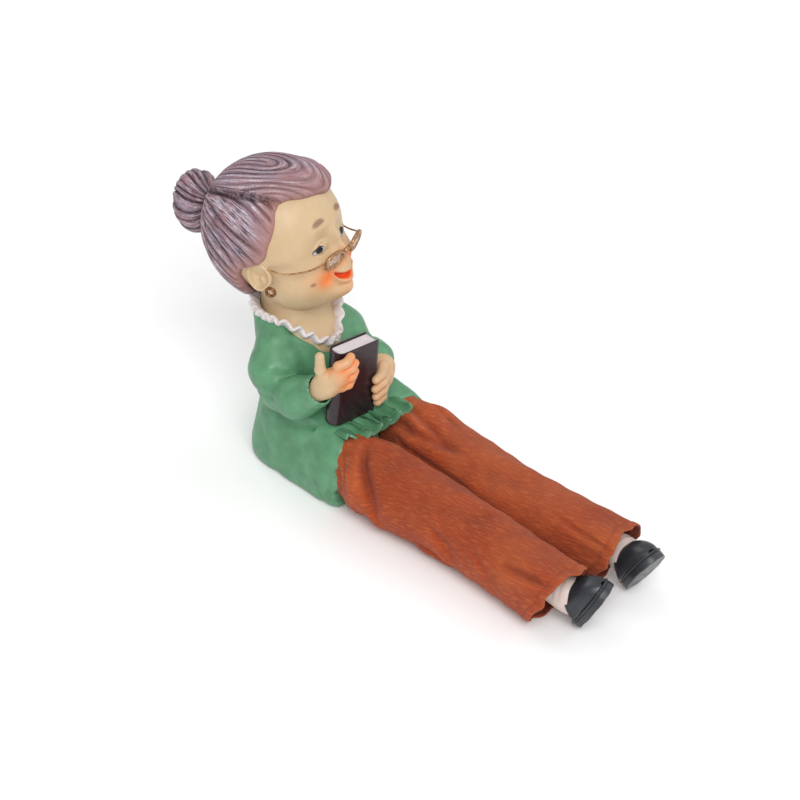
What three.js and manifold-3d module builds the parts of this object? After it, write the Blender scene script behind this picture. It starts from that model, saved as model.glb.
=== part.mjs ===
// A seated grandma doll: a cast resin upper body that holds a book, and two stuffed
// cloth trouser legs that swing at the hip, bend at the knee and end in cast feet.
// Millimetres, +Z up. The doll faces -Y and her left is +X. The origin is the middle
// of the flat seat under the blouse.
import * as THREE from 'three';
import { mergeVertices } from 'three/addons/utils/BufferGeometryUtils.js';
import Module from 'manifold-3d';

const wasm = await Module();
wasm.setup();

// Clearances
const glueGap = 0.3;
const clothGap = 0.5;

// Seat and blouse
const padThickness = 1.0;
const padInset = 4.0;
const seatHalfWidth = 29.0;
const seatHalfDepth = 27.0;
const seatMiddleY = -5.6;
const skirtFlare = 1.4;
const torsoLean = -3.0;
const waistHalfWidth = 22.0;
const waistHalfDepth = 18.5;
const waistZ = 39.0;
const waistY = 3.5;
const chestHalfWidth = 21.5;
const chestHalfDepth = 16.0;
const chestZ = 53.0;
const chestY = 8.5;
const collarHalfWidth = 16.0;
const collarHalfDepth = 14.5;
const collarZ = 64.0;
const collarY = 13.0;
const lapZ = 31.5;
const openingHalfWidth = 9.9;

// Blouse hem over the lap
const hemHalfWidth = 23.5;
const hemOverHip = 3.4;
const hemOverlap = 6.0;
const hemEndDrop = 3.2;
const hemWaveHeight = 1.2;
const hemThickness = 1.1;

// Trouser legs
const legSpacing = 30.0;
const legHalfWidth = 16.0;
const hipHalfWidth = 12.2;
const thighSwellLength = 26.0;
const kneeHalfWidth = 14.2;
const cuffHalfWidth = 13.6;
const thighHalfHeight = 14.4;
const shinHalfHeight = 13.4;
const clothWall = 1.0;
const hipY = -42.0;
const kneeY = -90.0;
const cuffY = -141.5;
const cuffLean = 0.36;
const cuffDepth = 16.0;
const legFloorGap = 0.3;
const foldDepth = 1.3;
const legRingStep = 9.0;
const thighInset = 1.2;
const pastTheCut = 6.0;

// Feet
const ankleHeight = 14.0;
const shoeLength = 22.8;
const shoeHalfWidth = 7.8;
const heelBehindAnkle = 7.4;
const soleThickness = 4.0;
const vampHeight = 9.2;
const vampBack = 2.8;
const vampLean = 4.4;
const sockRadius = 5.8;
const stemRadius = 3.0;
const stemBallRadius = 4.0;
const ballSeatDepth = 1.2;
const ankleBend = 15.0;
const rightAnkleX = -17.6;
const leftAnkleX = 21.5;
const cuffSpread = 1.4;
const footPitch = 27;
const rightFootYaw = 19;
const leftFootYaw = -5;

// Head, in its own frame: +Z up through the crown, -Y out of the face
const headBehindCollar = 7.0;
const headAboveCollar = 32.0;
const headTiltBack = 13;
const headYaw = 15;
const skullHalfWidth = 24.4;
const skullHalfDepth = 27.6;
const skullHalfHeight = 26.8;
const skullLift = 1.8;
const jawHalfWidth = 20.5;
const jawHalfDepth = 19.0;
const jawHalfHeight = 17.6;
const jawForward = 8.4;
const jawDrop = 14.2;
const noseReach = 6.4;
const noseZ = -5.6;
const noseWidth = 3.6;
const chinReach = 3.4;
const chinZ = -23.5;
const chinWidth = 6.5;
const cheekReach = 1.2;
const cheekX = 11.0;
const cheekZ = -10.0;
const cheekWidth = 6.0;
const jawBlend = 3.0;
const hairThickness = 2.2;
const hairGrooveDepth = 0.35;
const hairGrooves = 11;
const fringeHeight = 1.5;
const hairlineZ = 19.0;

// Points of the hairline in side view, as shares of the skull's half depth and half height
const hairTempleBow = [-0.54, 0.765];
const hairTemple = [-0.4, 0.485];
const hairSideBow = [-0.345, 0.11];
const hairBehindEarBow = [0.18, -0.37];
const hairBehindEar = [0.22, -0.71];
const hairNape = [0.36, -0.97];

const bunHalfWidth = 12.4;
const bunHalfDepth = 8.0;
const bunHalfHeight = 13.0;
const bunRise = 11.0;
const bunSink = 2.2;
const bunGrooves = 11;
const bunGrooveShare = 0.045;
const earHalfHeight = 6.6;
const earHalfWidth = 4.6;
const earThickness = 2.6;
const earDrop = 8.0;
const earForward = 2.0;
const earringRadius = 1.8;
const earringWire = 0.55;
const rimHalfWidth = 5.2;
const rimHalfHeight = 3.3;
const rimWire = 0.5;
const rimTurn = 12;
const bridgeHalfWidth = 2.9;
const bridgeRise = 2.0;
const glassesStandOff = 3.4;
const glassesDrop = 0.4;
const lensGap = 0.1;
const templeClearance = 0.5;
const lensThickness = 0.6;
const templeWire = 0.45;

// Neck and collar
const neckRadius = 12.0;
const frillWidth = 3.0;
const frillThickness = 1.3;
const frillWaves = 18;
const frillWaveHeight = 0.9;
const frillDropShare = 0.84;
const frillForward = 6.6;

// Arms and hands
const shoulderInset = 3.6;
const leftShoulderInset = 4.8;
const shoulderBelowCollar = 10.0;
const sleeveRadius = 9.6;
const elbowRadius = 9.2;
const elbowZ = 34.5;
const rightElbowOut = 3.6;
const leftElbowOut = -5.4;
const cuffRadius = 7.2;
const wristRadius = 4.6;
const palmHalfWidth = 5.6;
const palmFlatness = 0.79;
const fingerRadius = 1.9;
const fingerCurl = 1.0;
const thumbRadius = 2.1;
const handGap = 0.65;

// Book: it stands on the lap, in front of the waist
const bookWidth = 19.5;
const bookHeight = 32.5;
const bookThickness = 8.0;
const boardThickness = 1.0;
const boardOverhang = 1.2;
const spineBulge = 1.2;
const bookX = -7.6;
const bookForward = 5.6;
const bookLift = 1.65;
const bookYaw = -6;
const bookLean = 5.5;

// Mesh fineness
const bodySides = 32;
const legSides = 20;
const limbSides = 12;
const fingerSides = 6;
const wireSides = 6;
const frillSides = 6;
const footSides = 10;
const neckSides = 24;
const tunnelSides = 40;
const barSides = 18;
const headMesh = [26, 20];
const hairMesh = [28, 16];
const bunMesh = [33, 9];
const earMesh = [12, 8];
const bowlMesh = [10, 6];
const ballMesh = [10, 7];
const rimSteps = 18;
const hemSteps = 44;
const vampSteps = [6, 8];

// Finishes
const skinFinish = { color: '#dcb48c', roughness: 0.5 };
const blouseFinish = { color: '#4f8f68', roughness: 0.5 };
const trouserFinish = { color: '#a5482a', roughness: 0.9 };
const stuffingFinish = { color: '#e9e5dc', roughness: 0.95 };
const feltFinish = { color: '#3b3a38', roughness: 0.95 };
const hairFinish = { color: '#97777b', roughness: 0.6 };
const soleFinish = { color: '#2a2c30', roughness: 0.6 };
const shoeFinish = { color: '#2a2c30', roughness: 0.4 };
const sockFinish = { color: '#dccdc2', roughness: 0.6 };
const frillFinish = { color: '#e0d8da', roughness: 0.6 };
const coverFinish = { color: '#33211f', roughness: 0.45 };
const pageFinish = { color: '#e8e4e6', roughness: 0.8 };
const wireFinish = { color: '#a9865a', roughness: 0.3, metalness: 0.8 };
const lensFinish = { color: '#d8e4ea', roughness: 0.1 };

const TAU = Math.PI * 2;
const vec = (x, y, z) => new THREE.Vector3(x, y, z);
const rad = THREE.MathUtils.degToRad;
const mix = THREE.MathUtils.lerp;
const clamp = THREE.MathUtils.clamp;
const smoothstep = THREE.MathUtils.smoothstep;
const bump = (d, width) => Math.exp(-((d / width) ** 2));
const X = vec(1, 0, 0);
const Y = vec(0, 1, 0);
const Z = vec(0, 0, 1);
const sides = [-1, 1];
const nameOf = (side) => (side < 0 ? 'right' : 'left');
const far = 100;

// A closed skin through rings of points. Open ends are closed by a fan to the ring's middle;
// a looped skin joins its last ring to its first instead.
function skin(rings, looped = false) {
  const n = rings[0].length;
  const points = rings.flat().flatMap((p) => [p.x, p.y, p.z]);
  const triangles = [];
  const spans = looped ? rings.length : rings.length - 1;
  for (let i = 0; i < spans; i += 1) {
    const next = (i + 1) % rings.length;
    for (let j = 0; j < n; j += 1) {
      const k = (j + 1) % n;
      triangles.push(i * n + j, i * n + k, next * n + k);
      triangles.push(i * n + j, next * n + k, next * n + j);
    }
  }
  if (!looped) {
    const closeEnd = (ring, first, flipped) => {
      const middle = ring.reduce((sum, p) => sum.add(p), vec(0, 0, 0)).divideScalar(n);
      const centre = points.length / 3;
      points.push(middle.x, middle.y, middle.z);
      for (let j = 0; j < n; j += 1) {
        const k = (j + 1) % n;
        if (flipped) triangles.push(first + j, centre, first + k);
        else triangles.push(first + j, first + k, centre);
      }
    };
    closeEnd(rings[0], 0, true);
    closeEnd(rings[rings.length - 1], (rings.length - 1) * n, false);
  }
  return facingOut(points, triangles);
}

// The same triangles as a geometry, turned so that the enclosed volume is positive.
function facingOut(points, triangles) {
  const geometry = new THREE.BufferGeometry();
  geometry.setAttribute('position', new THREE.Float32BufferAttribute(points, 3));
  const corner = (i) => vec(points[3 * i], points[3 * i + 1], points[3 * i + 2]);
  let volume = 0;
  for (let i = 0; i < triangles.length; i += 3) {
    const [a, b, c] = [0, 1, 2].map((k) => corner(triangles[i + k]));
    volume += a.dot(b.cross(c));
  }
  if (volume < 0) {
    for (let i = 0; i < triangles.length; i += 3) {
      [triangles[i], triangles[i + 1]] = [triangles[i + 1], triangles[i]];
    }
  }
  geometry.setIndex(triangles);
  return geometry;
}

// A superellipse ring: exponent 2 is an ellipse, and more makes it squarer.
function oval(centre, across, up, halfAcross, halfUp, around, exponent = 2) {
  const ring = [];
  for (let i = 0; i < around; i += 1) {
    const angle = (TAU * i) / around;
    const [c, s] = [Math.cos(angle), Math.sin(angle)];
    const x = Math.sign(c) * Math.abs(c) ** (2 / exponent) * halfAcross;
    const y = Math.sign(s) * Math.abs(s) ** (2 / exponent) * halfUp;
    ring.push(centre.clone().addScaledVector(across, x).addScaledVector(up, y));
  }
  return ring;
}

// A rounded limb along a smooth path, its radius mixed between the given ones. flatten is the
// share of its thickness that it keeps along flatAxis.
function limb(path, radii, around, options = {}) {
  const { steps = 10, grow = 0, capSteps = 3, flatAxis = null, flatten = 1 } = options;
  const curve = new THREE.CatmullRomCurve3(path);
  const frames = curve.computeFrenetFrames(steps, false);
  const radiusAt = (t) => {
    const place = t * (radii.length - 1);
    const i = Math.min(Math.floor(place), radii.length - 2);
    const s = place - i;
    return mix(radii[i], radii[i + 1], s * s * (3 - 2 * s)) + grow;
  };
  const squash = (ring, centre) => {
    if (!flatAxis) return ring;
    return ring.map((p) => {
      const off = p.clone().sub(centre);
      return p.clone().addScaledVector(flatAxis, -off.dot(flatAxis) * (1 - flatten));
    });
  };
  const ringAt = (t, frame, slide, radius) => {
    const middle = curve.getPoint(t).addScaledVector(frames.tangents[frame], slide);
    const [across, up] = [frames.normals[frame], frames.binormals[frame]];
    return squash(oval(middle, across, up, radius, radius, around), middle);
  };
  const rings = [];
  for (let k = capSteps - 0.5; k > 0.6; k -= 1) {
    const angle = (Math.PI / 2) * (k / capSteps);
    const r = radiusAt(0);
    rings.push(ringAt(0, 0, -r * Math.sin(angle), r * Math.cos(angle)));
  }
  for (let i = 0; i <= steps; i += 1) {
    rings.push(ringAt(i / steps, i, 0, radiusAt(i / steps)));
  }
  for (let k = 0.5; k < capSteps; k += 1) {
    const angle = (Math.PI / 2) * (k / capSteps);
    const r = radiusAt(1);
    rings.push(ringAt(1, steps, r * Math.sin(angle), r * Math.cos(angle)));
  }
  return skin(rings);
}

function ellipsoid(centre, halfX, halfY, halfZ, [across, down]) {
  const geometry = new THREE.SphereGeometry(1, across, down);
  geometry.rotateX(Math.PI / 2);
  geometry.scale(halfX, halfY, halfZ);
  geometry.translate(centre.x, centre.y, centre.z);
  return geometry;
}

function box(low, high) {
  const size = high.clone().sub(low);
  const geometry = new THREE.BoxGeometry(size.x, size.y, size.z);
  const middle = low.clone().add(high).multiplyScalar(0.5);
  geometry.translate(middle.x, middle.y, middle.z);
  return geometry;
}

// A round bar along X.
function barAlongX(centre, radius, halfLength) {
  const geometry = new THREE.CylinderGeometry(radius, radius, 2 * halfLength, barSides);
  geometry.rotateZ(Math.PI / 2);
  geometry.translate(centre.x, centre.y, centre.z);
  return geometry;
}

// Joins and cuts
function solid(geometry) {
  const plain = geometry.clone();
  for (const name of ['normal', 'uv']) plain.deleteAttribute(name);
  const merged = mergeVertices(plain, 1e-4);
  return new wasm.Manifold(new wasm.Mesh({
    numProp: 3,
    vertProperties: new Float32Array(merged.attributes.position.array),
    triVerts: new Uint32Array(merged.index.array),
  }));
}

function geometryOf(manifold) {
  const mesh = manifold.getMesh();
  const geometry = new THREE.BufferGeometry();
  const points = new Float32Array(mesh.vertProperties);
  geometry.setAttribute('position', new THREE.BufferAttribute(points, 3));
  geometry.setIndex(new THREE.BufferAttribute(new Uint32Array(mesh.triVerts), 1));
  return geometry;
}

const joined = (...shapes) => geometryOf(shapes.map(solid).reduce((a, b) => a.add(b)));
const common = (a, b) => geometryOf(solid(a).intersect(solid(b)));

function cut(shape, ...tools) {
  return geometryOf(tools.map(solid).reduce((a, b) => a.subtract(b), solid(shape)));
}

// Keeps the largest body of a cut shape and drops the crumbs beside it.
function largest(shape) {
  const bodies = solid(shape).decompose();
  return geometryOf(bodies.reduce((a, b) => (b.volume() > a.volume() ? b : a)));
}

const moved = (geometry, matrix) => geometry.clone().applyMatrix4(matrix);

const ball = (centre, radius) => ellipsoid(centre, radius, radius, radius, ballMesh);

// A sphere of unit radius whose points are each moved by the given function
function shapedSphere([across, down], pointFor) {
  const geometry = new THREE.SphereGeometry(1, across, down);
  const place = geometry.attributes.position;
  for (let i = 0; i < place.count; i += 1) {
    const p = pointFor(vec(place.getX(i), place.getY(i), place.getZ(i)));
    place.setXYZ(i, p.x, p.y, p.z);
  }
  return facingOut(Array.from(place.array), Array.from(geometry.index.array));
}

function piece(name, geometry, finish) {
  const mesh = new THREE.Mesh(geometry, new THREE.MeshStandardMaterial(finish));
  mesh.name = name;
  return mesh;
}

// Blouse: oval sections that stack up, and lean to the right above the lap. Each row holds its
// height, its middle, its half width and half depth, and how square it is.
const leanAt = (z) => torsoLean * clamp((z - lapZ) / (chestZ - lapZ), 0, 1);
const seatZ = padThickness + glueGap;

function blouseSections(grow) {
  const skirtWidth = seatHalfWidth + skirtFlare;
  const skirtDepth = seatHalfDepth + skirtFlare;
  const width = (share) => mix(skirtWidth, waistHalfWidth, share);
  const rise = (share) => mix(seatZ, lapZ, share);
  const belly = (share) => mix(waistZ, chestZ, share);
  const yoke = (share) => mix(chestZ, collarZ, share);
  const sections = [
    [seatZ, seatMiddleY, seatHalfWidth, seatHalfDepth + 1, 6],
    [rise(0.2), seatMiddleY, skirtWidth, skirtDepth, 5],
    [rise(0.5), seatMiddleY, width(0.2), skirtDepth, 4],
    [rise(0.82), seatMiddleY + 0.4, width(0.6), skirtDepth - 1, 3.4],
    [lapZ + 0.5, mix(seatMiddleY, waistY, 0.4), width(0.85), mix(skirtDepth, waistHalfDepth, 0.5), 2.7],
    [waistZ, waistY, waistHalfWidth, waistHalfDepth, 2.2],
    [
      belly(0.5), mix(waistY, chestY, 0.5),
      mix(waistHalfWidth, chestHalfWidth, 0.5), mix(waistHalfDepth, chestHalfDepth, 0.5), 2.1,
    ],
    [chestZ, chestY, chestHalfWidth, chestHalfDepth, 2.1],
    [
      yoke(0.55), mix(chestY, collarY, 0.55),
      mix(chestHalfWidth, collarHalfWidth, 0.4), mix(chestHalfDepth, collarHalfDepth, 0.5), 2.1,
    ],
    [collarZ, collarY, collarHalfWidth, collarHalfDepth, 2],
  ];
  return sections.map(([z, y, halfWidth, halfDepth, squareness]) => (
    oval(vec(leanAt(z), y, z), X, Y, halfWidth + grow, halfDepth + grow, bodySides, squareness)
  ));
}

const blouseSolid = (grow) => skin(blouseSections(grow));

// Neck and the patch of chest that the open collar shows. Each row holds height, middle, half
// width and half depth.
function neckSolid(grow) {
  const rows = [
    [chestZ - 9, chestY - 1, collarHalfWidth - 7, collarHalfWidth - 7],
    [chestZ - 2, chestY - 1.5, collarHalfWidth - 4, chestHalfDepth - 1.6],
    [mix(chestZ, collarZ, 0.4), chestY + 0.5, collarHalfWidth - 2.4, chestHalfDepth - 1.4],
    [collarZ, collarY - 0.5, neckRadius + 1.6, neckRadius + 1.2],
    [collarZ + 5, collarY + 0.8, neckRadius, neckRadius],
    [collarZ + 16, collarY + 3, neckRadius, neckRadius],
  ];
  return skin(rows.map(([z, y, halfWidth, halfDepth]) => (
    oval(vec(torsoLean, y, z), X, Y, halfWidth + grow, halfDepth + grow, neckSides)
  )));
}

// The V that the blouse leaves open down the front
function veeSolid() {
  const front = chestY - chestHalfDepth;
  const path = [vec(torsoLean, front, chestZ + 3.4), vec(torsoLean, front + 2, collarZ + 8)];
  return limb(path, [2.5, openingHalfWidth], limbSides, { steps: 5 });
}

// Head: a ray from the middle meets a skull egg and a jaw egg, and the further one wins
// softly; the nose, chin and cheeks are bumps on that.
const rayStart = vec(0, -3, -4);

function eggRay(direction, centre, half) {
  const scale = (p) => vec(p.x / half.x, p.y / half.y, p.z / half.z);
  const from = scale(rayStart.clone().sub(centre));
  const along = scale(direction);
  const [a, b, c] = [along.dot(along), from.dot(along), from.dot(from) - 1];
  return (-b + Math.sqrt(b * b - a * c)) / a;
}

function headPoint(direction, grow) {
  const skullHalf = vec(skullHalfWidth, skullHalfDepth, skullHalfHeight);
  const jawHalf = vec(jawHalfWidth, jawHalfDepth, jawHalfHeight);
  const skull = eggRay(direction, vec(0, 0, skullLift), skullHalf);
  const jaw = eggRay(direction, vec(0, -jawForward, -jawDrop), jawHalf);
  const either = Math.log(Math.exp(skull / jawBlend) + Math.exp(jaw / jawBlend)) * jawBlend;
  const reach = either - Math.log(2) * jawBlend * bump(skull - jaw, 2 * jawBlend);
  const p = rayStart.clone().addScaledVector(direction, reach + grow);
  if (p.y < 0) {
    p.y -= noseReach * bump(Math.hypot(p.x, p.z - noseZ), noseWidth);
    p.y -= chinReach * bump(Math.hypot(p.x * 0.8, p.z - chinZ), chinWidth);
    p.y -= cheekReach * bump(Math.hypot(Math.abs(p.x) - cheekX, p.z - cheekZ), cheekWidth);
  }
  return p;
}

// A sphere's pole is on +Y, and the head's is on +Z.
const upright = (p) => vec(p.x, p.z, p.y);
const headSolid = (grow) => shapedSphere(headMesh, (p) => headPoint(upright(p).normalize(), grow));

const headCentre = vec(torsoLean, collarY + headBehindCollar, collarZ + headAboveCollar);
const headRotation = new THREE.Euler(-rad(headTiltBack), 0, rad(headYaw), 'ZYX');
const headMatrix = new THREE.Matrix4().makeRotationFromEuler(headRotation).setPosition(headCentre);

// What the hair leaves bare: the face and the ears, drawn in side view and cut through across
// the head
function faceOpening() {
  const hairline = new THREE.Shape();
  const onSkull = ([y, z]) => [y * skullHalfDepth, z * skullHalfHeight];
  const front = -2 * skullHalfDepth;
  const below = -2 * skullHalfHeight;
  const nape = onSkull(hairNape);
  hairline.moveTo(front, hairlineZ - 0.5);
  hairline.lineTo(-skullHalfDepth + 1.6, hairlineZ + 0.5);
  hairline.quadraticCurveTo(...onSkull(hairTempleBow), ...onSkull(hairTemple));
  hairline.quadraticCurveTo(...onSkull(hairSideBow), -earForward + 1, -earDrop + earHalfHeight);
  hairline.quadraticCurveTo(...onSkull(hairBehindEarBow), ...onSkull(hairBehindEar));
  hairline.lineTo(...nape);
  hairline.lineTo(nape[0], below);
  hairline.lineTo(front, below);
  const depth = 3 * skullHalfWidth;
  const opening = new THREE.ExtrudeGeometry(hairline, { depth, bevelEnabled: false, curveSegments: 5 });
  opening.applyMatrix4(new THREE.Matrix4().makeBasis(Y, Z, X));
  opening.translate(-depth / 2, 0, 0);
  return opening;
}

// Hair: a shell over the skull with grooves that run to the knot at the back
function hairShell() {
  const knot = vec(0, 1, bunRise / skullHalfDepth).normalize();
  const over = knot.clone().cross(X);
  const shell = shapedSphere(hairMesh, (unit) => {
    const d = upright(unit).normalize();
    const angle = Math.atan2(d.dot(over), d.dot(X));
    const away = Math.acos(clamp(d.dot(knot), -1, 1));
    const fade = Math.sin(Math.min(away * 1.6, Math.PI / 2));
    const groove = hairGrooveDepth * Math.cos(angle * hairGrooves) * fade;
    const fringe = fringeHeight * bump(Math.hypot(d.x * 0.7, d.y + 0.72, d.z - 0.68), 0.42);
    const t = hairThickness + groove + fringe;
    return vec(
      d.x * (skullHalfWidth + t), d.y * (skullHalfDepth + t) + 0.4, skullLift + d.z * (skullHalfHeight + t),
    );
  });
  const neck = moved(neckSolid(glueGap), headMatrix.clone().invert());
  const ears = sides.map((side) => earEgg(side, glueGap));
  return largest(cut(shell, headSolid(glueGap), faceOpening(), bunSolid(glueGap), neck, ...ears));
}

const bunCentre = vec(0, skullHalfDepth + hairThickness + bunHalfDepth - bunSink, bunRise);

// The knot is an egg, flat from front to back, pinched where it meets the hair and grooved
function bunSolid(grow) {
  return shapedSphere(bunMesh, (d) => {
    const angle = Math.atan2(d.z, d.x);
    const fade = Math.min(1, Math.hypot(d.x, d.z) * 1.5);
    const groove = 1 + bunGrooveShare * Math.cos(angle * bunGrooves) * fade;
    return vec(
      bunCentre.x + d.x * (bunHalfWidth + grow) * groove,
      bunCentre.y + d.y * (bunHalfDepth + grow),
      bunCentre.z + d.z * (bunHalfHeight + grow) * groove,
    );
  });
}

// Where the head's side lies at a height and depth, found by halving, so that pieces seat on it
function headSurfaceX(y, z, side) {
  let [inside, outside] = [0, 2 * skullHalfWidth];
  for (let i = 0; i < 24; i += 1) {
    const x = (inside + outside) / 2;
    const aim = vec(x, y, z).sub(rayStart);
    const reach = headPoint(aim.clone().normalize(), 0).distanceTo(rayStart);
    if (aim.length() < reach) inside = x;
    else outside = x;
  }
  return side * inside;
}

function earMiddle(side) {
  const seat = headSurfaceX(-earForward, -earDrop, side);
  return vec(seat + side * earThickness * 0.35, -earForward + 1, -earDrop);
}

function earEgg(side, grow) {
  const half = [earThickness + grow, earHalfWidth + grow, earHalfHeight + grow];
  return ellipsoid(earMiddle(side), ...half, earMesh);
}

function ear(side) {
  const hollow = earMiddle(side).add(vec(side * earThickness * 1.1, -0.6, 0.4));
  const bowl = ellipsoid(hollow, earThickness * 0.8, earHalfWidth * 0.6, earHalfHeight * 0.62, bowlMesh);
  return largest(cut(earEgg(side, 0), bowl, headSolid(glueGap)));
}

function earring(side) {
  const seat = headSurfaceX(-earForward - 2, -earDrop - earHalfHeight, side);
  const ring = new THREE.TorusGeometry(earringRadius, earringWire, wireSides, 14);
  ring.rotateY(Math.PI / 2);
  ring.translate(
    seat + side * (earringWire + 1.2),
    -earForward - 0.2,
    -earDrop - earHalfHeight - earringRadius - earringWire - glueGap + 0.4,
  );
  return cut(ring, headSolid(glueGap));
}

// Spectacles: two oval wire rims low on the nose, a bridge, two side wires and two lenses
const glassesY = -(jawForward + jawHalfDepth + glassesStandOff);
const glassesZ = noseZ - glassesDrop;
const rimMiddleX = rimHalfWidth + bridgeHalfWidth;
const rimBack = 1.2;

function rimMatrix(side) {
  const turn = new THREE.Matrix4().makeRotationZ(side * rad(rimTurn));
  return turn.setPosition(side * rimMiddleX, glassesY + rimBack, glassesZ);
}

function rimGeometry(side) {
  const rings = [];
  for (let i = 0; i < rimSteps; i += 1) {
    const angle = (TAU * i) / rimSteps;
    const middle = vec(rimHalfWidth * Math.cos(angle), 0, rimHalfHeight * Math.sin(angle));
    const out = vec(Math.cos(angle) / rimHalfWidth, 0, Math.sin(angle) / rimHalfHeight).normalize();
    rings.push(oval(middle, out, Y, rimWire, rimWire, wireSides));
  }
  return moved(skin(rings, true), rimMatrix(side));
}

function spectacleFrame() {
  const inner = rimMiddleX - rimHalfWidth * Math.cos(rad(rimTurn));
  const end = (side) => vec(side * inner, glassesY, glassesZ);
  const top = (side) => vec(side * inner * 0.4, glassesY - 1.4, glassesZ + bridgeRise);
  const bridge = limb([end(-1), top(-1), top(1), end(1)], [rimWire, rimWire], wireSides, { capSteps: 1 });
  return joined(rimGeometry(-1), rimGeometry(1), bridge);
}

function lens(side) {
  const disc = new THREE.CylinderGeometry(1, 1, lensThickness, rimSteps);
  const inside = rimWire + lensGap;
  disc.scale(rimHalfWidth - inside, 1, rimHalfHeight - inside);
  return moved(disc, rimMatrix(side));
}

// A side wire runs from the rim's outer end, along the cheek, to the front of the ear
function temple(side) {
  const rimEnd = (rimHalfWidth + 2 * rimWire + glueGap) * Math.cos(rad(rimTurn));
  const outer = vec(side * (rimMiddleX + rimEnd), glassesY + rimBack + 1.4, glassesZ);
  const earFront = -earForward - earHalfWidth - 0.4;
  const along = [[glassesY * 0.65, 0.5], [glassesY * 0.39, 0], [earFront, -0.4]].map(([y, rise]) => {
    const z = glassesZ + rise;
    return vec(headSurfaceX(y, z, side) + side * (templeWire + glueGap + templeClearance), y, z);
  });
  const wire = limb([outer, ...along], [templeWire, templeWire], wireSides, { steps: 9, capSteps: 1 });
  return cut(wire, headSolid(glueGap * 0.7));
}

// Book and hands. The hands' points are given from the middle of the book's front edge on
// their own side, so they stay on the book.
const bookY = waistY - waistHalfDepth - bookForward - bookThickness / 2;
const bookCentre = vec(bookX, bookY, lapZ + bookLift + bookHeight / 2);
const bookRotation = new THREE.Euler(0, rad(bookLean), rad(bookYaw), 'ZYX');
const bookMatrix = new THREE.Matrix4().makeRotationFromEuler(bookRotation).setPosition(bookCentre);

function onBook(side, points) {
  const edge = bookCentre.clone().add(vec((side * bookWidth) / 2, -bookThickness / 2, 0));
  return points.map(([x, y, z]) => vec(x, y, z).add(edge));
}

const rightHand = {
  palm: onBook(-1, [[-7.25, 5.8, -1.4], [-4.25, 2, 4.6], [-0.65, -1.4, 9.6]]),
  knuckles: onBook(-1, [[-1.65, -1.8, 14.2], [0.35, -2.6, 11.2], [0.95, -2.6, 7.8], [-0.05, -2, 4.6]]),
  tips: onBook(-1, [[4.95, -2.4, 16.6], [6.55, -3, 13.2], [6.35, -3, 9.5], [4.75, -2.6, 6]]),
  thumb: onBook(-1, [[-5.25, 3, 6.6], [-7.05, 3.2, 12.6], [-6.45, 4, 18]]),
};
const leftHand = {
  palm: onBook(1, [[10.05, 8.1, -2.9], [8.45, 4.6, -4.8], [5.65, 1.2, -7.4]]),
  knuckles: onBook(1, [[5.45, 0.6, -1], [5.65, -0.2, -4.6], [5.25, -0.2, -8.2], [4.65, 0.6, -11.6]]),
  tips: onBook(1, [[-1.55, -2, -2.6], [-2.35, -2.4, -6.6], [-1.95, -2.4, -10.4], [-0.95, -2, -13.8]]),
  thumb: onBook(1, [[8.45, 6, -2.8], [6.45, 9.2, 0.6], [3.05, 10.8, 3]]),
};
const handOf = (side) => (side < 0 ? rightHand : leftHand);

// Sleeves: an upper one that hangs from the shoulder and a lower one that ends in a cuff. The
// left arm lies closer to the body than the right one.
function shoulderOf(side) {
  const inset = side < 0 ? shoulderInset : leftShoulderInset;
  return vec(torsoLean + side * (chestHalfWidth - inset), chestY - 0.5, collarZ - shoulderBelowCollar);
}

function elbowOf(side) {
  if (side < 0) return vec(-(waistHalfWidth + rightElbowOut), waistY - 4, elbowZ);
  return vec(waistHalfWidth + leftElbowOut, waistY - 7.5, elbowZ + 1);
}

function upperSleeve(side, grow) {
  const [from, to] = [shoulderOf(side), elbowOf(side)];
  const middle = from.clone().lerp(to, 0.5).add(vec(side, 0.8, 0.8));
  const radii = [sleeveRadius * 0.9, sleeveRadius, elbowRadius];
  return limb([from, middle, to], radii, limbSides, { steps: 7, grow });
}

function lowerSleeve(side, grow) {
  const [from, to] = [elbowOf(side), handOf(side).palm[0]];
  const middle = from.clone().lerp(to, 0.5).add(vec(side * 1.6, 0, -1.2));
  const end = from.clone().lerp(to, 0.9);
  const radii = [elbowRadius * 0.96, elbowRadius * 0.9, cuffRadius];
  return limb([from, middle, end], radii, limbSides, { steps: 7, grow, capSteps: 2 });
}

function bookBlock(grow) {
  const half = vec(bookWidth / 2 + grow, bookThickness / 2 + grow, bookHeight / 2 + grow);
  return box(half.clone().negate(), half);
}

function pageBlock() {
  const halfDepth = bookThickness / 2 - boardThickness - glueGap;
  const halfHeight = bookHeight / 2 - boardOverhang - glueGap;
  const spine = -bookWidth / 2 + boardThickness + boardOverhang + glueGap;
  const foreEdge = bookWidth / 2 - boardOverhang - glueGap;
  return box(vec(spine, -halfDepth, -halfHeight), vec(foreEdge, halfDepth, halfHeight));
}

function bookCover() {
  const outline = new THREE.Shape();
  const [w, t] = [bookWidth / 2, bookThickness / 2];
  outline.moveTo(w, -t);
  outline.lineTo(w, t);
  outline.lineTo(-w + spineBulge, t);
  outline.quadraticCurveTo(-w - spineBulge, 0, -w + spineBulge, -t);
  outline.lineTo(w, -t);
  const spineCurve = { depth: bookHeight, bevelEnabled: false, curveSegments: 8 };
  const whole = new THREE.ExtrudeGeometry(outline, spineCurve);
  whole.translate(0, 0, -bookHeight / 2);
  const inside = box(
    vec(-w + boardThickness + boardOverhang - glueGap, -t + boardThickness, -bookHeight),
    vec(bookWidth, t - boardThickness, bookHeight),
  );
  return cut(whole, inside);
}

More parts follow.
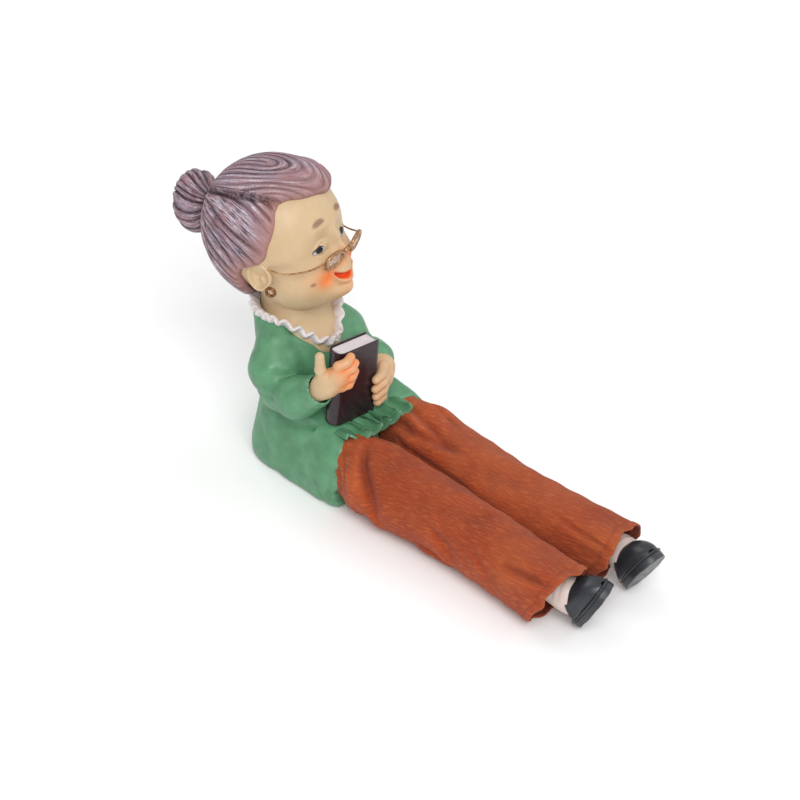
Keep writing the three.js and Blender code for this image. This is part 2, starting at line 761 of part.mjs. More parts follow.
// A hand: a palm between wrist and knuckles, four fingers and a thumb, joined in one casting
function hand(side) {
  const { palm, knuckles, tips, thumb } = handOf(side);
  const palmFacing = vec(side * 0.5, -1, 0).normalize();
  const palmRadii = [wristRadius, palmHalfWidth, palmHalfWidth * 0.9];
  const palmShape = { steps: 6, flatAxis: palmFacing, flatten: palmFlatness };
  const palmSolid = limb(palm, palmRadii, limbSides, palmShape);
  const fingerShape = { steps: 3, capSteps: 2 };
  const fingers = knuckles.map((from, i) => {
    const middle = from.clone().lerp(tips[i], 0.55).add(vec(0, -fingerCurl, 0));
    const radii = [fingerRadius * 1.15, fingerRadius, fingerRadius * 0.85];
    return limb([from, middle, tips[i]], radii, fingerSides, fingerShape);
  });
  const thumbRadii = [thumbRadius * 1.2, thumbRadius, thumbRadius * 0.8];
  const thumbSolid = limb(thumb, thumbRadii, fingerSides, fingerShape);
  const tools = [
    moved(bookBlock(handGap), bookMatrix), blouseSolid(glueGap),
    lowerSleeve(side, glueGap), upperSleeve(side, glueGap),
  ];
  return largest(cut(joined(palmSolid, thumbSolid, ...fingers), ...tools));
}

// Collar frill: a flat strip that waves along the edge of the open neck
function collarFrill() {
  const drop = frillDropShare * (collarZ - chestZ);
  const rings = [];
  const count = 4 * frillWaves;
  for (let i = 0; i < count; i += 1) {
    const angle = (TAU * i) / count - Math.PI / 2;
    const front = Math.max(0, -Math.sin(angle)) ** 3;
    const x = torsoLean + Math.cos(angle) * (collarHalfWidth - 0.4) * mix(1, 0.86, front);
    const y = collarY + Math.sin(angle) * (collarHalfDepth - 0.2) - front * frillForward;
    const z = collarZ + 1.9 - front * drop + 0.8 * Math.sin(angle);
    const wave = frillWaveHeight * Math.sin(frillWaves * angle + Math.PI / 4);
    const out = vec(Math.cos(angle), Math.sin(angle) * 0.9, 0.25 + 0.2 * front).normalize();
    const up = Z.clone().addScaledVector(out, -out.z).normalize();
    const middle = vec(x, y, z).addScaledVector(out, 0.9).addScaledVector(up, wave);
    rings.push(oval(middle, out, up, frillWidth / 2, frillThickness / 2, frillSides, 2.6));
  }
  return skin(rings, true);
}

// Blouse hem: a strip over the lap that waves more towards its front edge
const hemBackY = seatMiddleY - seatHalfDepth - skirtFlare + hemOverlap;
const hemFrontY = hipY + hemOverHip;

function hemStrip() {
  const rings = [];
  for (let i = 0; i <= hemSteps; i += 1) {
    const u = (2 * i) / hemSteps - 1;
    const x = torsoLean + u * hemHalfWidth;
    const z = lapZ - 1.6 - hemEndDrop * u ** 4;
    const wave = Math.sin(u * 15) + 0.4 * Math.sin(u * 25 + 1) + 0.7;
    const station = (y, height, thickness) => [1, -1].map(
      (face) => vec(x, y, z + height * wave + (face * thickness) / 2),
    );
    const stations = [
      station(hemBackY, 0.1, hemThickness + 0.5),
      station(mix(hemBackY, hemFrontY, 0.5), 0.4 * hemWaveHeight, hemThickness + 0.2),
      station(hemFrontY + 4 * u ** 4, hemWaveHeight, hemThickness),
    ];
    rings.push([...stations.map((s) => s[0]), ...stations.reverse().map((s) => s[1])]);
  }
  return skin(rings);
}

// Legs: a cloth tube round a stuffed core, cut in two at the knee. Sections run from the hip
// to the cuff with folds that fade in and out along the leg.
const legZ = (t) => mix(thighHalfHeight, shinHalfHeight, t) + legFloorGap;

function legSection(side, y, shrink) {
  const t = clamp((hipY - y) / (hipY - cuffY), 0, 1);
  const swellStart = -hemFrontY - 2;
  const outOfHem = smoothstep(-y, swellStart, swellStart + thighSwellLength);
  const thigh = mix(legHalfWidth, kneeHalfWidth, Math.min(1, t * 1.9));
  const belly = mix(hipHalfWidth, thigh, outOfHem);
  const across = t < 0.5 ? belly : mix(belly, cuffHalfWidth, (t - 0.5) * 2);
  const height = mix(thighHalfHeight, shinHalfHeight, t);
  const inset = thighInset * Math.sin(Math.PI * t) * outOfHem;
  const x = side * (legSpacing / 2 - inset + cuffSpread * smoothstep(t, 0.5, 1));
  const ring = oval(vec(x, y, legZ(t)), X, Z, across - shrink, height - shrink, legSides, 2.3);
  const lean = cuffLean * smoothstep(-y, -cuffY - cuffDepth - 8, -cuffY);
  return ring.map((p) => {
    const angle = Math.atan2(p.z - legZ(t), p.x - x);
    const above = Math.max(0, Math.sin(angle)) * 0.8 + 0.2;
    const thighFold = Math.cos(3 * angle + y * 0.12 + side) * bump(y - hipY + 20, 22);
    const kneeFold = Math.cos(5 * angle - y * 0.1) * bump(y - kneeY, 16);
    const cuffFold = Math.cos(4 * angle + 1) * bump(y - cuffY, 14) * 1.4;
    const fold = -foldDepth * outOfHem * above * (1 + 0.5 * (thighFold + kneeFold + cuffFold));
    const out = vec(Math.cos(angle), 0, Math.sin(angle));
    return p.addScaledVector(out, fold).add(vec(0, -lean * (p.z - legZ(t)), 0));
  });
}

// Rings stand at shared places along the leg, so that nested skins keep their distance
function legSkin(side, from, to, shrink) {
  const places = [from];
  const first = Math.ceil(-from / legRingStep + 0.2);
  for (let k = first; -k * legRingStep > to + 0.2 * legRingStep; k += 1) places.push(-k * legRingStep);
  places.push(to);
  return skin(places.map((y) => legSection(side, y, shrink)));
}

const hipCentre = (side) => vec((side * legSpacing) / 2, hipY, legZ(0));
const kneeT = (hipY - kneeY) / (hipY - cuffY);
const kneeCentre = (side) => vec(side * (legSpacing / 2 - thighInset), kneeY, legZ(kneeT));
const kneeRadius = mix(thighHalfHeight, shinHalfHeight, kneeT);

// What a leg part may fill: a round end about its joint, and everything in front of it
function inFrontOf(centre, radius) {
  return joined(
    barAlongX(centre, radius, far / 2),
    box(vec(-far, centre.y - 2 * far, -far), vec(far, centre.y, far)),
  );
}

// What the thigh leaves free: the shin's round end, and the room under it for bending
function kneeRoom(side) {
  const centre = kneeCentre(side);
  const radius = kneeRadius + clothGap;
  const frontY = centre.y - 2 * far;
  return joined(
    barAlongX(centre, radius, far / 2),
    box(vec(-far, frontY, -far), vec(far, centre.y + radius, centre.z - radius * 0.1)),
    box(vec(-far, frontY, -far), vec(far, centre.y + radius * 0.2, far)),
  );
}

// What the upper body leaves free for both legs: the way in from the front, and the round
// ends of the thighs when they swing
const hipRoomHalfWidth = seatHalfWidth + 2 * skirtFlare;

function legTunnel() {
  const halfHeight = thighHalfHeight + clothGap;
  const below = 4;
  const rings = [hipY + halfHeight, hipY - 20].map((y) => (
    oval(vec(0, y, legZ(0) - below), X, Z, hipRoomHalfWidth, halfHeight + below, tunnelSides, 9)
  ));
  return skin(rings);
}

const hipRoom = () => barAlongX(hipCentre(1).setX(0), thighHalfHeight + clothGap, hipRoomHalfWidth);

// The two legs touch along the middle, so each keeps to its own side of it
function ownSide(side, shrink) {
  const edge = side * (clothGap / 2 + shrink);
  const low = Math.min(edge, side * far);
  const high = Math.max(edge, side * far);
  return box(vec(low, -2 * far, -far), vec(high, far, far));
}

function legCore(side, from, to, shrink) {
  return common(legSkin(side, from, to, shrink), ownSide(side, shrink));
}

function thighShape(shape, side) {
  return cut(common(shape, inFrontOf(hipCentre(side), thighHalfHeight)), kneeRoom(side));
}

const shinShape = (shape, side) => common(shape, inFrontOf(kneeCentre(side), kneeRadius));

// Each length of trouser is a tube that is open at both ends, round a core of stuffing
const hipEnd = hipY + thighHalfHeight;
const kneeBack = kneeY + kneeRadius;
const thighFront = kneeY - pastTheCut;

function thighCloth(side) {
  const core = legCore(side, hipEnd + pastTheCut, thighFront, clothWall);
  return cut(thighShape(legCore(side, hipEnd, thighFront, 0), side), core);
}

function thighStuffing(side) {
  return thighShape(legCore(side, hipEnd, thighFront, clothWall + glueGap), side);
}

// The stuffing stops short of the cuff, where it holds the ball on the foot's stem
const stuffingFront = cuffY + cuffDepth;

function ankleOf(side) {
  return vec(side < 0 ? rightAnkleX : leftAnkleX, stuffingFront - ballSeatDepth, legZ(1));
}

function shinCloth(side) {
  const core = legCore(side, kneeBack + pastTheCut, cuffY - 2 * pastTheCut, clothWall);
  return cut(shinShape(legCore(side, kneeBack, cuffY, 0), side), core);
}

function shinStuffing(side) {
  const whole = shinShape(legCore(side, kneeBack, stuffingFront, clothWall + glueGap), side);
  return cut(whole, ball(ankleOf(side), stemBallRadius + glueGap));
}

// Feet. Each is laid out in a frame whose origin is the ankle, with the sole flat and the toe
// along -Y. The stem leans back from there to its ball by the pitch of the foot.
const toeY = heelBehindAnkle - shoeLength;
const soleTop = soleThickness - ankleHeight;
const stemWay = vec(0, Math.sin(rad(footPitch)), Math.cos(rad(footPitch)));
const stemPoint = (distance) => stemWay.clone().multiplyScalar(distance);

function soleSolid() {
  const outline = new THREE.Shape();
  const heel = shoeHalfWidth * 0.84;
  const tread = mix(heelBehindAnkle, toeY, 0.58);
  const waist = mix(heelBehindAnkle, toeY, 0.3);
  outline.moveTo(-heel, heelBehindAnkle);
  outline.lineTo(heel, heelBehindAnkle);
  outline.quadraticCurveTo(shoeHalfWidth * 0.86, waist, shoeHalfWidth, tread);
  outline.quadraticCurveTo(shoeHalfWidth * 0.98, toeY, 0, toeY);
  outline.quadraticCurveTo(-shoeHalfWidth * 0.98, toeY, -shoeHalfWidth, tread);
  outline.quadraticCurveTo(-shoeHalfWidth * 0.86, waist, -heel, heelBehindAnkle);
  const slab = { depth: soleThickness, bevelEnabled: false, curveSegments: 5 };
  const sole = new THREE.ExtrudeGeometry(outline, slab);
  sole.translate(0, 0, -ankleHeight);
  return sole;
}

// The foot inside the shoe: heel, instep, ankle and the stem with its ball, one casting
function sockSolid(grow) {
  const heelZ = soleTop + 4.6;
  const leg = limb(
    [vec(0, 0.4, heelZ), vec(0, 0.2, -3), stemPoint(3)],
    [sockRadius, sockRadius, sockRadius * 0.94], footSides, { steps: 3, grow },
  );
  const stem = limb(
    [stemPoint(0), stemPoint(ankleBend)],
    [stemRadius, stemRadius], footSides, { steps: 1, grow, capSteps: 1 },
  );
  const instep = limb(
    [vec(0, -1, heelZ), vec(0, -7, heelZ - 1), vec(0, -12, heelZ - 2)],
    [sockRadius - 1.4, 3.6, 2.6], footSides, { steps: 2, grow, capSteps: 2 },
  );
  const stemBall = ball(stemPoint(ankleBend), stemBallRadius + grow);
  const aboveSole = box(vec(-far, -far, soleTop + glueGap - grow), vec(far, far, far));
  return common(joined(leg, stem, stemBall, instep), aboveSole);
}

// The shoe's upper: a dome over the front of the foot, open at the heel like a mule. It rises
// from the sole in arches, each a little lower and rounder towards the toe.
function vampSolid() {
  const rings = [];
  const [lengthSteps, archSteps] = vampSteps;
  for (let i = 0; i <= lengthSteps; i += 1) {
    const t = i / lengthSteps;
    const y = mix(vampBack, toeY + 0.5, t);
    const rounding = Math.sqrt(Math.max(0.02, 1 - (Math.max(0, t - 0.45) / 0.56) ** 2.4));
    const spread = Math.sin((Math.PI * Math.min(1, t * 1.2)) / 2);
    const width = shoeHalfWidth * mix(0.86, 0.97, spread) * rounding;
    const height = vampHeight * mix(0.92, 1, Math.sin(Math.PI * t)) * Math.sqrt(rounding) * (1 - 0.1 * t);
    const ring = [];
    for (let k = 0; k <= archSteps; k += 1) {
      const angle = (Math.PI * k) / archSteps;
      const z = soleTop + glueGap + height * Math.sin(angle) ** 0.8;
      const back = ((1 - t) * vampLean * (z - soleTop)) / vampHeight;
      ring.push(vec(width * Math.cos(angle), y - back, z));
    }
    rings.push(ring);
  }
  return largest(cut(skin(rings), sockSolid(glueGap)));
}

// Assembly
const doll = new THREE.Group();
const headTool = moved(headSolid(glueGap), headMatrix);
const neckTool = neckSolid(glueGap);
const bookTool = moved(bookBlock(glueGap), bookMatrix);
const blouseTool = blouseSolid(glueGap);
const hair = hairShell();
const hairTool = moved(hair, headMatrix);

function padSolid() {
  const [halfWidth, halfDepth] = [seatHalfWidth - padInset, seatHalfDepth - padInset];
  const rings = [0, padThickness].map((z) => (
    oval(vec(0, seatMiddleY + padInset, z), X, Y, halfWidth, halfDepth, bodySides, 3)
  ));
  return cut(skin(rings), legTunnel());
}

function addTorso() {
  const blouse = largest(cut(blouseSolid(0), neckTool, veeSolid(), legTunnel(), bookTool));
  const hem = largest(cut(hemStrip(), blouseTool, legTunnel(), hipRoom(), bookTool));
  const frill = cut(collarFrill(), neckTool, blouseTool, headTool, hairTool);
  doll.add(piece('seat_pad', padSolid(), feltFinish));
  doll.add(piece('blouse_body', blouse, blouseFinish));
  doll.add(piece('blouse_hem', hem, blouseFinish));
  doll.add(piece('neck_and_chest', largest(cut(neckSolid(0), headTool, bookTool)), skinFinish));
  doll.add(piece('collar_frill', frill, frillFinish));
}

function addArm(side) {
  const upper = largest(cut(upperSleeve(side, 0), blouseTool));
  const lower = largest(cut(lowerSleeve(side, 0), blouseTool, upperSleeve(side, glueGap), bookTool));
  doll.add(piece(`${nameOf(side)}_upper_sleeve`, upper, blouseFinish));
  doll.add(piece(`${nameOf(side)}_lower_sleeve`, lower, blouseFinish));
  doll.add(piece(`${nameOf(side)}_hand`, hand(side), skinFinish));
}

function addBook() {
  const book = new THREE.Group();
  book.position.copy(bookCentre);
  book.rotation.copy(bookRotation);
  book.add(piece('book_cover', bookCover(), coverFinish));
  book.add(piece('book_pages', pageBlock(), pageFinish));
  doll.add(book);
}

function addHead() {
  const head = new THREE.Group();
  head.position.copy(headCentre);
  head.rotation.copy(headRotation);
  head.add(piece('head', headSolid(0), skinFinish));
  head.add(piece('hair_cap', hair, hairFinish));
  head.add(piece('hair_bun', cut(bunSolid(0), headSolid(glueGap)), hairFinish));
  head.add(piece('spectacle_frame', cut(spectacleFrame(), headSolid(glueGap)), wireFinish));
  for (const side of sides) {
    head.add(piece(`${nameOf(side)}_ear`, ear(side), skinFinish));
    head.add(piece(`${nameOf(side)}_earring`, earring(side), wireFinish));
    head.add(piece(`${nameOf(side)}_lens`, lens(side), lensFinish));
    head.add(piece(`${nameOf(side)}_temple_wire`, temple(side), wireFinish));
  }
  doll.add(head);
}

function addFoot(side) {
  const foot = new THREE.Group();
  const yaw = side < 0 ? rightFootYaw : leftFootYaw;
  foot.rotation.set(rad(footPitch) - Math.PI / 2, 0, rad(yaw), 'ZYX');
  foot.position.copy(ankleOf(side)).sub(stemPoint(ankleBend).applyEuler(foot.rotation));
  foot.add(piece(`${nameOf(side)}_shoe_sole`, soleSolid(), soleFinish));
  foot.add(piece(`${nameOf(side)}_shoe_upper`, vampSolid(), shoeFinish));
  foot.add(piece(`${nameOf(side)}_sock_and_stem`, sockSolid(0), sockFinish));
  doll.add(foot);
}

function addLeg(side) {
  doll.add(piece(`${nameOf(side)}_thigh_cloth`, thighCloth(side), trouserFinish));
  doll.add(piece(`${nameOf(side)}_thigh_stuffing`, thighStuffing(side), stuffingFinish));
  doll.add(piece(`${nameOf(side)}_shin_cloth`, shinCloth(side), trouserFinish));
  doll.add(piece(`${nameOf(side)}_shin_stuffing`, shinStuffing(side), stuffingFinish));
  addFoot(side);
}

addTorso();
sides.forEach(addArm);
addBook();
addHead();
sides.forEach(addLeg);

export default doll;
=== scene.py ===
"""Looks for the seated grandma doll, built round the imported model.

Sizes are millimetres in the model's own frame: +Z is up, the doll faces -Y and her left is +X.
They become metres where a mesh is made.
"""
import logging
import math
from collections.abc import Callable
from dataclasses import dataclass, field
from enum import Enum

import bpy
import numpy as np
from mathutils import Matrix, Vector


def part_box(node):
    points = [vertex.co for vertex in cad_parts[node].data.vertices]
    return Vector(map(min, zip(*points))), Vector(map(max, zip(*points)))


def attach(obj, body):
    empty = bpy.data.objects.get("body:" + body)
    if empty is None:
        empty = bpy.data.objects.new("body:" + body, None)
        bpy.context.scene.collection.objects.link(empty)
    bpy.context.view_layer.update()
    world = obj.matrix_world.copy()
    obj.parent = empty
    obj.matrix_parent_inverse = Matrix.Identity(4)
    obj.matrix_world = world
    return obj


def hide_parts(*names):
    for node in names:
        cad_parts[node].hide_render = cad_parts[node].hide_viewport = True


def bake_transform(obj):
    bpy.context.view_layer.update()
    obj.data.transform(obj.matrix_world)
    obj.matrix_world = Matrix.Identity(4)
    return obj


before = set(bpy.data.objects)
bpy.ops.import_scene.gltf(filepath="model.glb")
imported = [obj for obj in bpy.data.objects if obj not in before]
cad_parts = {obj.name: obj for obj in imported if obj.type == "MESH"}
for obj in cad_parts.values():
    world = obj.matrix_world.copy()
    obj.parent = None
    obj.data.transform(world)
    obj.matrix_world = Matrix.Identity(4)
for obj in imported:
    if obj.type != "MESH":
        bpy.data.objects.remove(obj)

Array = np.ndarray
Triple = tuple[float, float, float]
Rgb = Triple
Rows = tuple[tuple[float, ...], ...]
Path = Array | Rows
Field = Callable[[Array], Array]
Socket = bpy.types.NodeSocket

MM = 0.001
AT_ONCE = 400_000  # points of a field that are read in one go
log = logging.getLogger("doll")


class Side(Enum):
    """Her right side lies at negative x and her left side at positive x."""

    RIGHT = -1
    LEFT = 1

    @property
    def word(self) -> str:
        """The side's word in node and piece names."""
        return self.name.lower()


class Slot(Enum):
    """The record's material slots."""

    SKIN = "skin_paint"
    HAIR = "hair_paint"
    BLOUSE = "blouse_paint"
    COLLAR = "collar_paint"
    COVER = "cover_paint"
    PAGE = "page_paint"
    WIRE = "gold_wire"
    EARRING = "earring_paint"
    LENS = "lens"
    TROUSER = "trouser_cloth"
    STUFFING = "stuffing"
    FELT = "felt"
    SHOE = "shoe_paint"
    SOCK = "sock_paint"


# Small sums on whole arrays


def mix(a: Array, b: Array, t: Array) -> Array:
    """From a at t = 0 to b at t = 1."""
    return a + (b - a) * t


def ease(value: Array, start: float, end: float) -> Array:
    """0 before start, 1 after end, and an S-shaped rise between them."""
    t = np.clip((value - start) / (end - start), 0.0, 1.0)
    return t * t * (3 - 2 * t)


def bump(distance: Array, width: float) -> Array:
    """A bell of height 1 that falls off over the given width."""
    return np.exp(-((distance / width) ** 2))


def circle(count: int) -> Array:
    """Evenly spread angles once round, in radians."""
    return np.linspace(0, 2 * math.pi, count, endpoint=False)


def grid(*axes: Array) -> Array:
    """Points from their coordinates, each spread over the whole grid."""
    return np.stack(np.broadcast_arrays(*axes), -1)


def unit(vectors: Array) -> Array:
    """The vectors at length 1."""
    return vectors / np.maximum(np.linalg.norm(vectors, axis=-1, keepdims=True), 1e-9)


def softly_above(value: Array, floor: float, width: float) -> Array:
    """The value where it is well above the floor, and never less than the floor."""
    return floor + width * np.logaddexp(0.0, (value - floor) / width)


def spline(places: Array, table: Array, at: Array) -> Array:
    """A smooth curve through the rows of a table.

    Between two rows it is the cubic that passes through both with the slopes of their
    neighbours, worked out for all the places at once.

    Args:
        places: where each row stands, rising.
        table: one row of values for each place.
        at: the places to read.

    Returns:
        One row of values for each place read.
    """
    places, table = np.asarray(places, float), np.asarray(table, float)
    slopes = np.gradient(table, places, axis=0)
    at = np.clip(np.asarray(at, float), places[0], places[-1])
    k = np.clip(np.searchsorted(places, at, side="right") - 1, 0, len(places) - 2)
    span = (places[k + 1] - places[k])[..., None]
    t = (at - places[k])[..., None] / span
    hold = (2 * t**3 - 3 * t**2 + 1) * table[k] + (3 * t**2 - 2 * t**3) * table[k + 1]
    turn = (t**3 - 2 * t**2 + t) * slopes[k] + (t**3 - t**2) * slopes[k + 1]
    return hold + turn * span


def rotation(pitch: float = 0.0, roll: float = 0.0, yaw: float = 0.0) -> Array:
    """The turn by pitch about X, then roll about Y, then yaw about Z, in degrees."""
    a, b, c = (math.radians(v) for v in (pitch, roll, yaw))
    about_x = np.array([[1, 0, 0], [0, math.cos(a), -math.sin(a)], [0, math.sin(a), math.cos(a)]])
    about_y = np.array([[math.cos(b), 0, math.sin(b)], [0, 1, 0], [-math.sin(b), 0, math.cos(b)]])
    about_z = np.array([[math.cos(c), -math.sin(c), 0], [math.sin(c), math.cos(c), 0], [0, 0, 1]])
    return about_z @ about_y @ about_x


# Skins of points and faces


@dataclass
class Surface:
    """One skin: points in millimetres, faces of four corners, and marks for the paint.

    A face whose last two corners are the same is a triangle. Each mark is one number per point.
    """

    points: Array
    faces: Array
    marks: dict[str, Array] = field(default_factory=dict)

    def normals(self) -> Array:
        """The mean direction of the faces round each point."""
        a, b, c, d = (self.points[self.faces[:, i]] for i in range(4))
        across = np.cross(c - a, d - b)
        size = len(self.points)
        return unit(grid(*[
            sum(np.bincount(self.faces[:, i], across[:, axis], size) for i in range(4))
            for axis in range(3)
        ]))

    def smoothed(self, rounds: int, share: float = 0.5) -> Array:
        """The points after each has moved towards the mean of its neighbours a few times."""
        ends = np.concatenate([self.faces[:, [i, (i + 1) % 4]] for i in range(4)])
        ends = ends[ends[:, 0] != ends[:, 1]]
        count = np.maximum(np.bincount(ends[:, 0], minlength=len(self.points)), 1)
        points = self.points
        for _ in range(rounds):
            sums = [np.bincount(ends[:, 0], points[ends[:, 1], k], len(points)) for k in range(3)]
            points = mix(points, grid(*sums) / count[:, None], share)
        return points

    def mark_hollows(self, depth: float, rounds: int = 12) -> "Surface":
        """Adds the marks hollow and ridge, from 0 to 1.

        A point lies in a hollow as far as the smoothed skin stands proud of it, and on a
        ridge as far as it stands proud of the smoothed skin.

        Args:
            depth: the depth in millimetres that counts as 1.
            rounds: how far the smoothing reaches.

        Returns:
            This surface.
        """
        rise = np.sum((self.smoothed(rounds) - self.points) * self.normals(), -1) / depth
        self.marks["hollow"] = np.clip(rise, 0, 1)
        self.marks["ridge"] = np.clip(-rise, 0, 1)
        return self

    def area(self) -> float:
        """The total area of the faces."""
        a, b, c, d = (self.points[self.faces[:, i]] for i in range(4))
        halves = np.cross(b - a, c - a), np.cross(c - a, d - a)
        return float(sum(np.linalg.norm(half, axis=-1).sum() for half in halves) / 2)

    def moved(self, turn: Array, place: Array) -> "Surface":
        """A copy that is turned and then shifted."""
        return Surface(self.points @ turn.T + place, self.faces, dict(self.marks))

    def outward(self) -> "Surface":
        """This closed surface with its faces pointing outwards.

        The volume under the faces, summed with its sign, is negative when they point inwards.
        """
        a, b, c, d = (self.points[self.faces[:, i]] for i in range(4))
        volume = np.sum(a * (np.cross(b, c) + np.cross(c, d)))
        if volume < 0:
            self.faces = self.faces[:, [0, 3, 2, 1]]
            same = self.faces[:, 1] == self.faces[:, 2]
            self.faces[same] = self.faces[same][:, [2, 3, 0, 0]]
        return self


def together(parts: list[Surface]) -> Surface:
    """Several surfaces as one; a mark that one of them lacks is 0 there."""
    names = {name for part in parts for name in part.marks}
    starts = np.cumsum([0] + [len(part.points) for part in parts[:-1]])
    return Surface(
        np.concatenate([part.points for part in parts]),
        np.concatenate([part.faces + start for part, start in zip(parts, starts)]),
        {
            name: np.concatenate(
                [part.marks.get(name, np.zeros(len(part.points))) for part in parts]
            )
            for name in names
        },
    )


def skin(rings: Array, looped: bool = False, marks: dict[str, Array] | None = None) -> Surface:
    """A closed skin over a stack of rings.

    Point (i, j) is the j-th point of ring i. Faces join each ring to the next, and the last
    point of a ring to its first. The first and last rings meet, or are closed by a fan of
    triangles about their middles.

    Args:
        rings: points, as rings by points by three.
        looped: whether the last ring meets the first.
        marks: numbers for the points, as rings by points.

    Returns:
        The surface, with its faces outwards.
    """
    rows, columns = rings.shape[:2]
    i, j = np.meshgrid(np.arange(rows if looped else rows - 1), np.arange(columns), indexing="ij")
    here, beside = i * columns, (j + 1) % columns
    above = ((i + 1) % rows) * columns
    faces = np.stack([here + j, here + beside, above + beside, above + j], -1).reshape(-1, 4)
    points = rings.reshape(-1, 3)
    values = {name: value.reshape(-1) for name, value in (marks or {}).items()}
    if not looped:
        first = np.arange(columns)
        last = first + (rows - 1) * columns
        low = np.full(columns, len(points))
        fans = [
            np.stack([low, np.roll(first, -1), first, first], -1),
            np.stack([low + 1, last, np.roll(last, -1), np.roll(last, -1)], -1),
        ]
        faces = np.concatenate([faces, *fans])
        points = np.concatenate([points, rings[:1].mean(1), rings[-1:].mean(1)])
        ends = {name: [value[0].mean(), value[-1].mean()] for name, value in (marks or {}).items()}
        values = {name: np.concatenate([value, ends[name]]) for name, value in values.items()}
    return Surface(points, faces, values).outward()


def oval(angles: Array, exponent: float = 2.0) -> tuple[Array, Array]:
    """The sideways and upward shares of a rounded box: an ellipse at exponent 2."""
    c, s = np.cos(angles), np.sin(angles)
    power = 2.0 / exponent
    return np.sign(c) * np.abs(c) ** power, np.sign(s) * np.abs(s) ** power


def tube(path: Path, radii: Array, sides: int, samples: int, rounding: int) -> Surface:
    """A round-ended tube along a smooth path.

    The path is the spline through the given points, and the radius the spline through the
    given radii. Each ring stands square to the path, and the last few rings at either end
    shrink along a quarter circle.

    Args:
        path: points that the middle line passes through.
        radii: one radius for each point.
        sides: points in a ring.
        samples: rings along the path.
        rounding: rings in each round end.

    Returns:
        The closed surface.
    """
    path, radii = np.asarray(path, float), np.asarray(radii, float)
    steps = np.linalg.norm(np.diff(path, axis=0), axis=1)
    places = np.concatenate([[0], np.cumsum(steps)])
    at = np.linspace(0, places[-1], samples)
    middle, radius = spline(places, path, at), spline(places, radii[:, None], at)[:, 0]
    along = unit(np.gradient(middle, axis=0))
    quarter = np.linspace(0, math.pi / 2, rounding + 1)[1:]
    head = middle[0] - along[0] * (radius[0] * np.sin(quarter[::-1]))[:, None]
    tail = middle[-1] + along[-1] * (radius[-1] * np.sin(quarter))[:, None]
    small = 0.02 * radius.max()
    radius = np.concatenate(
        [radius[0] * np.cos(quarter[::-1]), radius, radius[-1] * np.cos(quarter)]
    )
    middle = np.concatenate([head, middle, tail])
    along = np.concatenate(
        [np.repeat(along[:1], rounding, 0), along, np.repeat(along[-1:], rounding, 0)]
    )
    spread = path.max(0) - path.min(0)
    reference = np.eye(3)[int(np.argmin(spread))]
    across = unit(np.cross(along, reference))
    up = np.cross(across, along)
    angles = circle(sides)
    c, s = np.cos(angles)[:, None], np.sin(angles)[:, None]
    ring = across[:, None] * c + up[:, None] * s
    return skin(middle[:, None] + ring * np.maximum(radius, small)[:, None, None])


def ring_wire(middle: Array, out: Array, up: Array, half_wide: float, half_thick: float) -> Surface:
    """A wire of oval section along a closed line, its sections set by two directions."""
    angles = circle(14)
    c, s = oval(angles, 2.3)
    rings = (
        middle[:, None]
        + out[:, None] * (half_wide * c)[None, :, None]
        + up[:, None] * (half_thick * s)[None, :, None]
    )
    return skin(rings, looped=True)


# Rounded bodies worked out from a distance field: negative inside, positive outside


def blended(a: Array, b: Array, width: float) -> Array:
    """The union of two fields, filleted over the given width."""
    h = np.clip(0.5 + 0.5 * (b - a) / width, 0, 1)
    return mix(b, a, h) - width * h * (1 - h)


def without(a: Array, b: Array, width: float) -> Array:
    """Field a with b taken away, its edge rounded over the given width."""
    return -blended(-a, b, width)


def rod(points: Array, start: Array, end: Array, first: float, last: float) -> Array:
    """Distance to a round-ended rod whose radius runs from first to last.

    It is the distance to the nearest point of the middle line, less the radius there.
    """
    line = np.asarray(end, float) - np.asarray(start, float)
    away = points - np.asarray(start, float)
    t = np.clip(away @ line / (line @ line), 0, 1)
    return np.linalg.norm(away - t[..., None] * line, axis=-1) - mix(first, last, t)


def chain(points: Array, path: Path, radii: tuple[float, ...], width: float) -> Array:
    """Rods from each point of a path to the next, filleted into one limb."""
    result = rod(points, path[0], path[1], radii[0], radii[1])
    for k in range(1, len(path) - 1):
        result = blended(result, rod(points, path[k], path[k + 1], radii[k], radii[k + 1]), width)
    return result


def near_line(points: Array, path: Path) -> Array:
    """Distance from each point to a bent line through the given points."""
    return chain(points, path, (0.0,) * len(path), 1e-6)


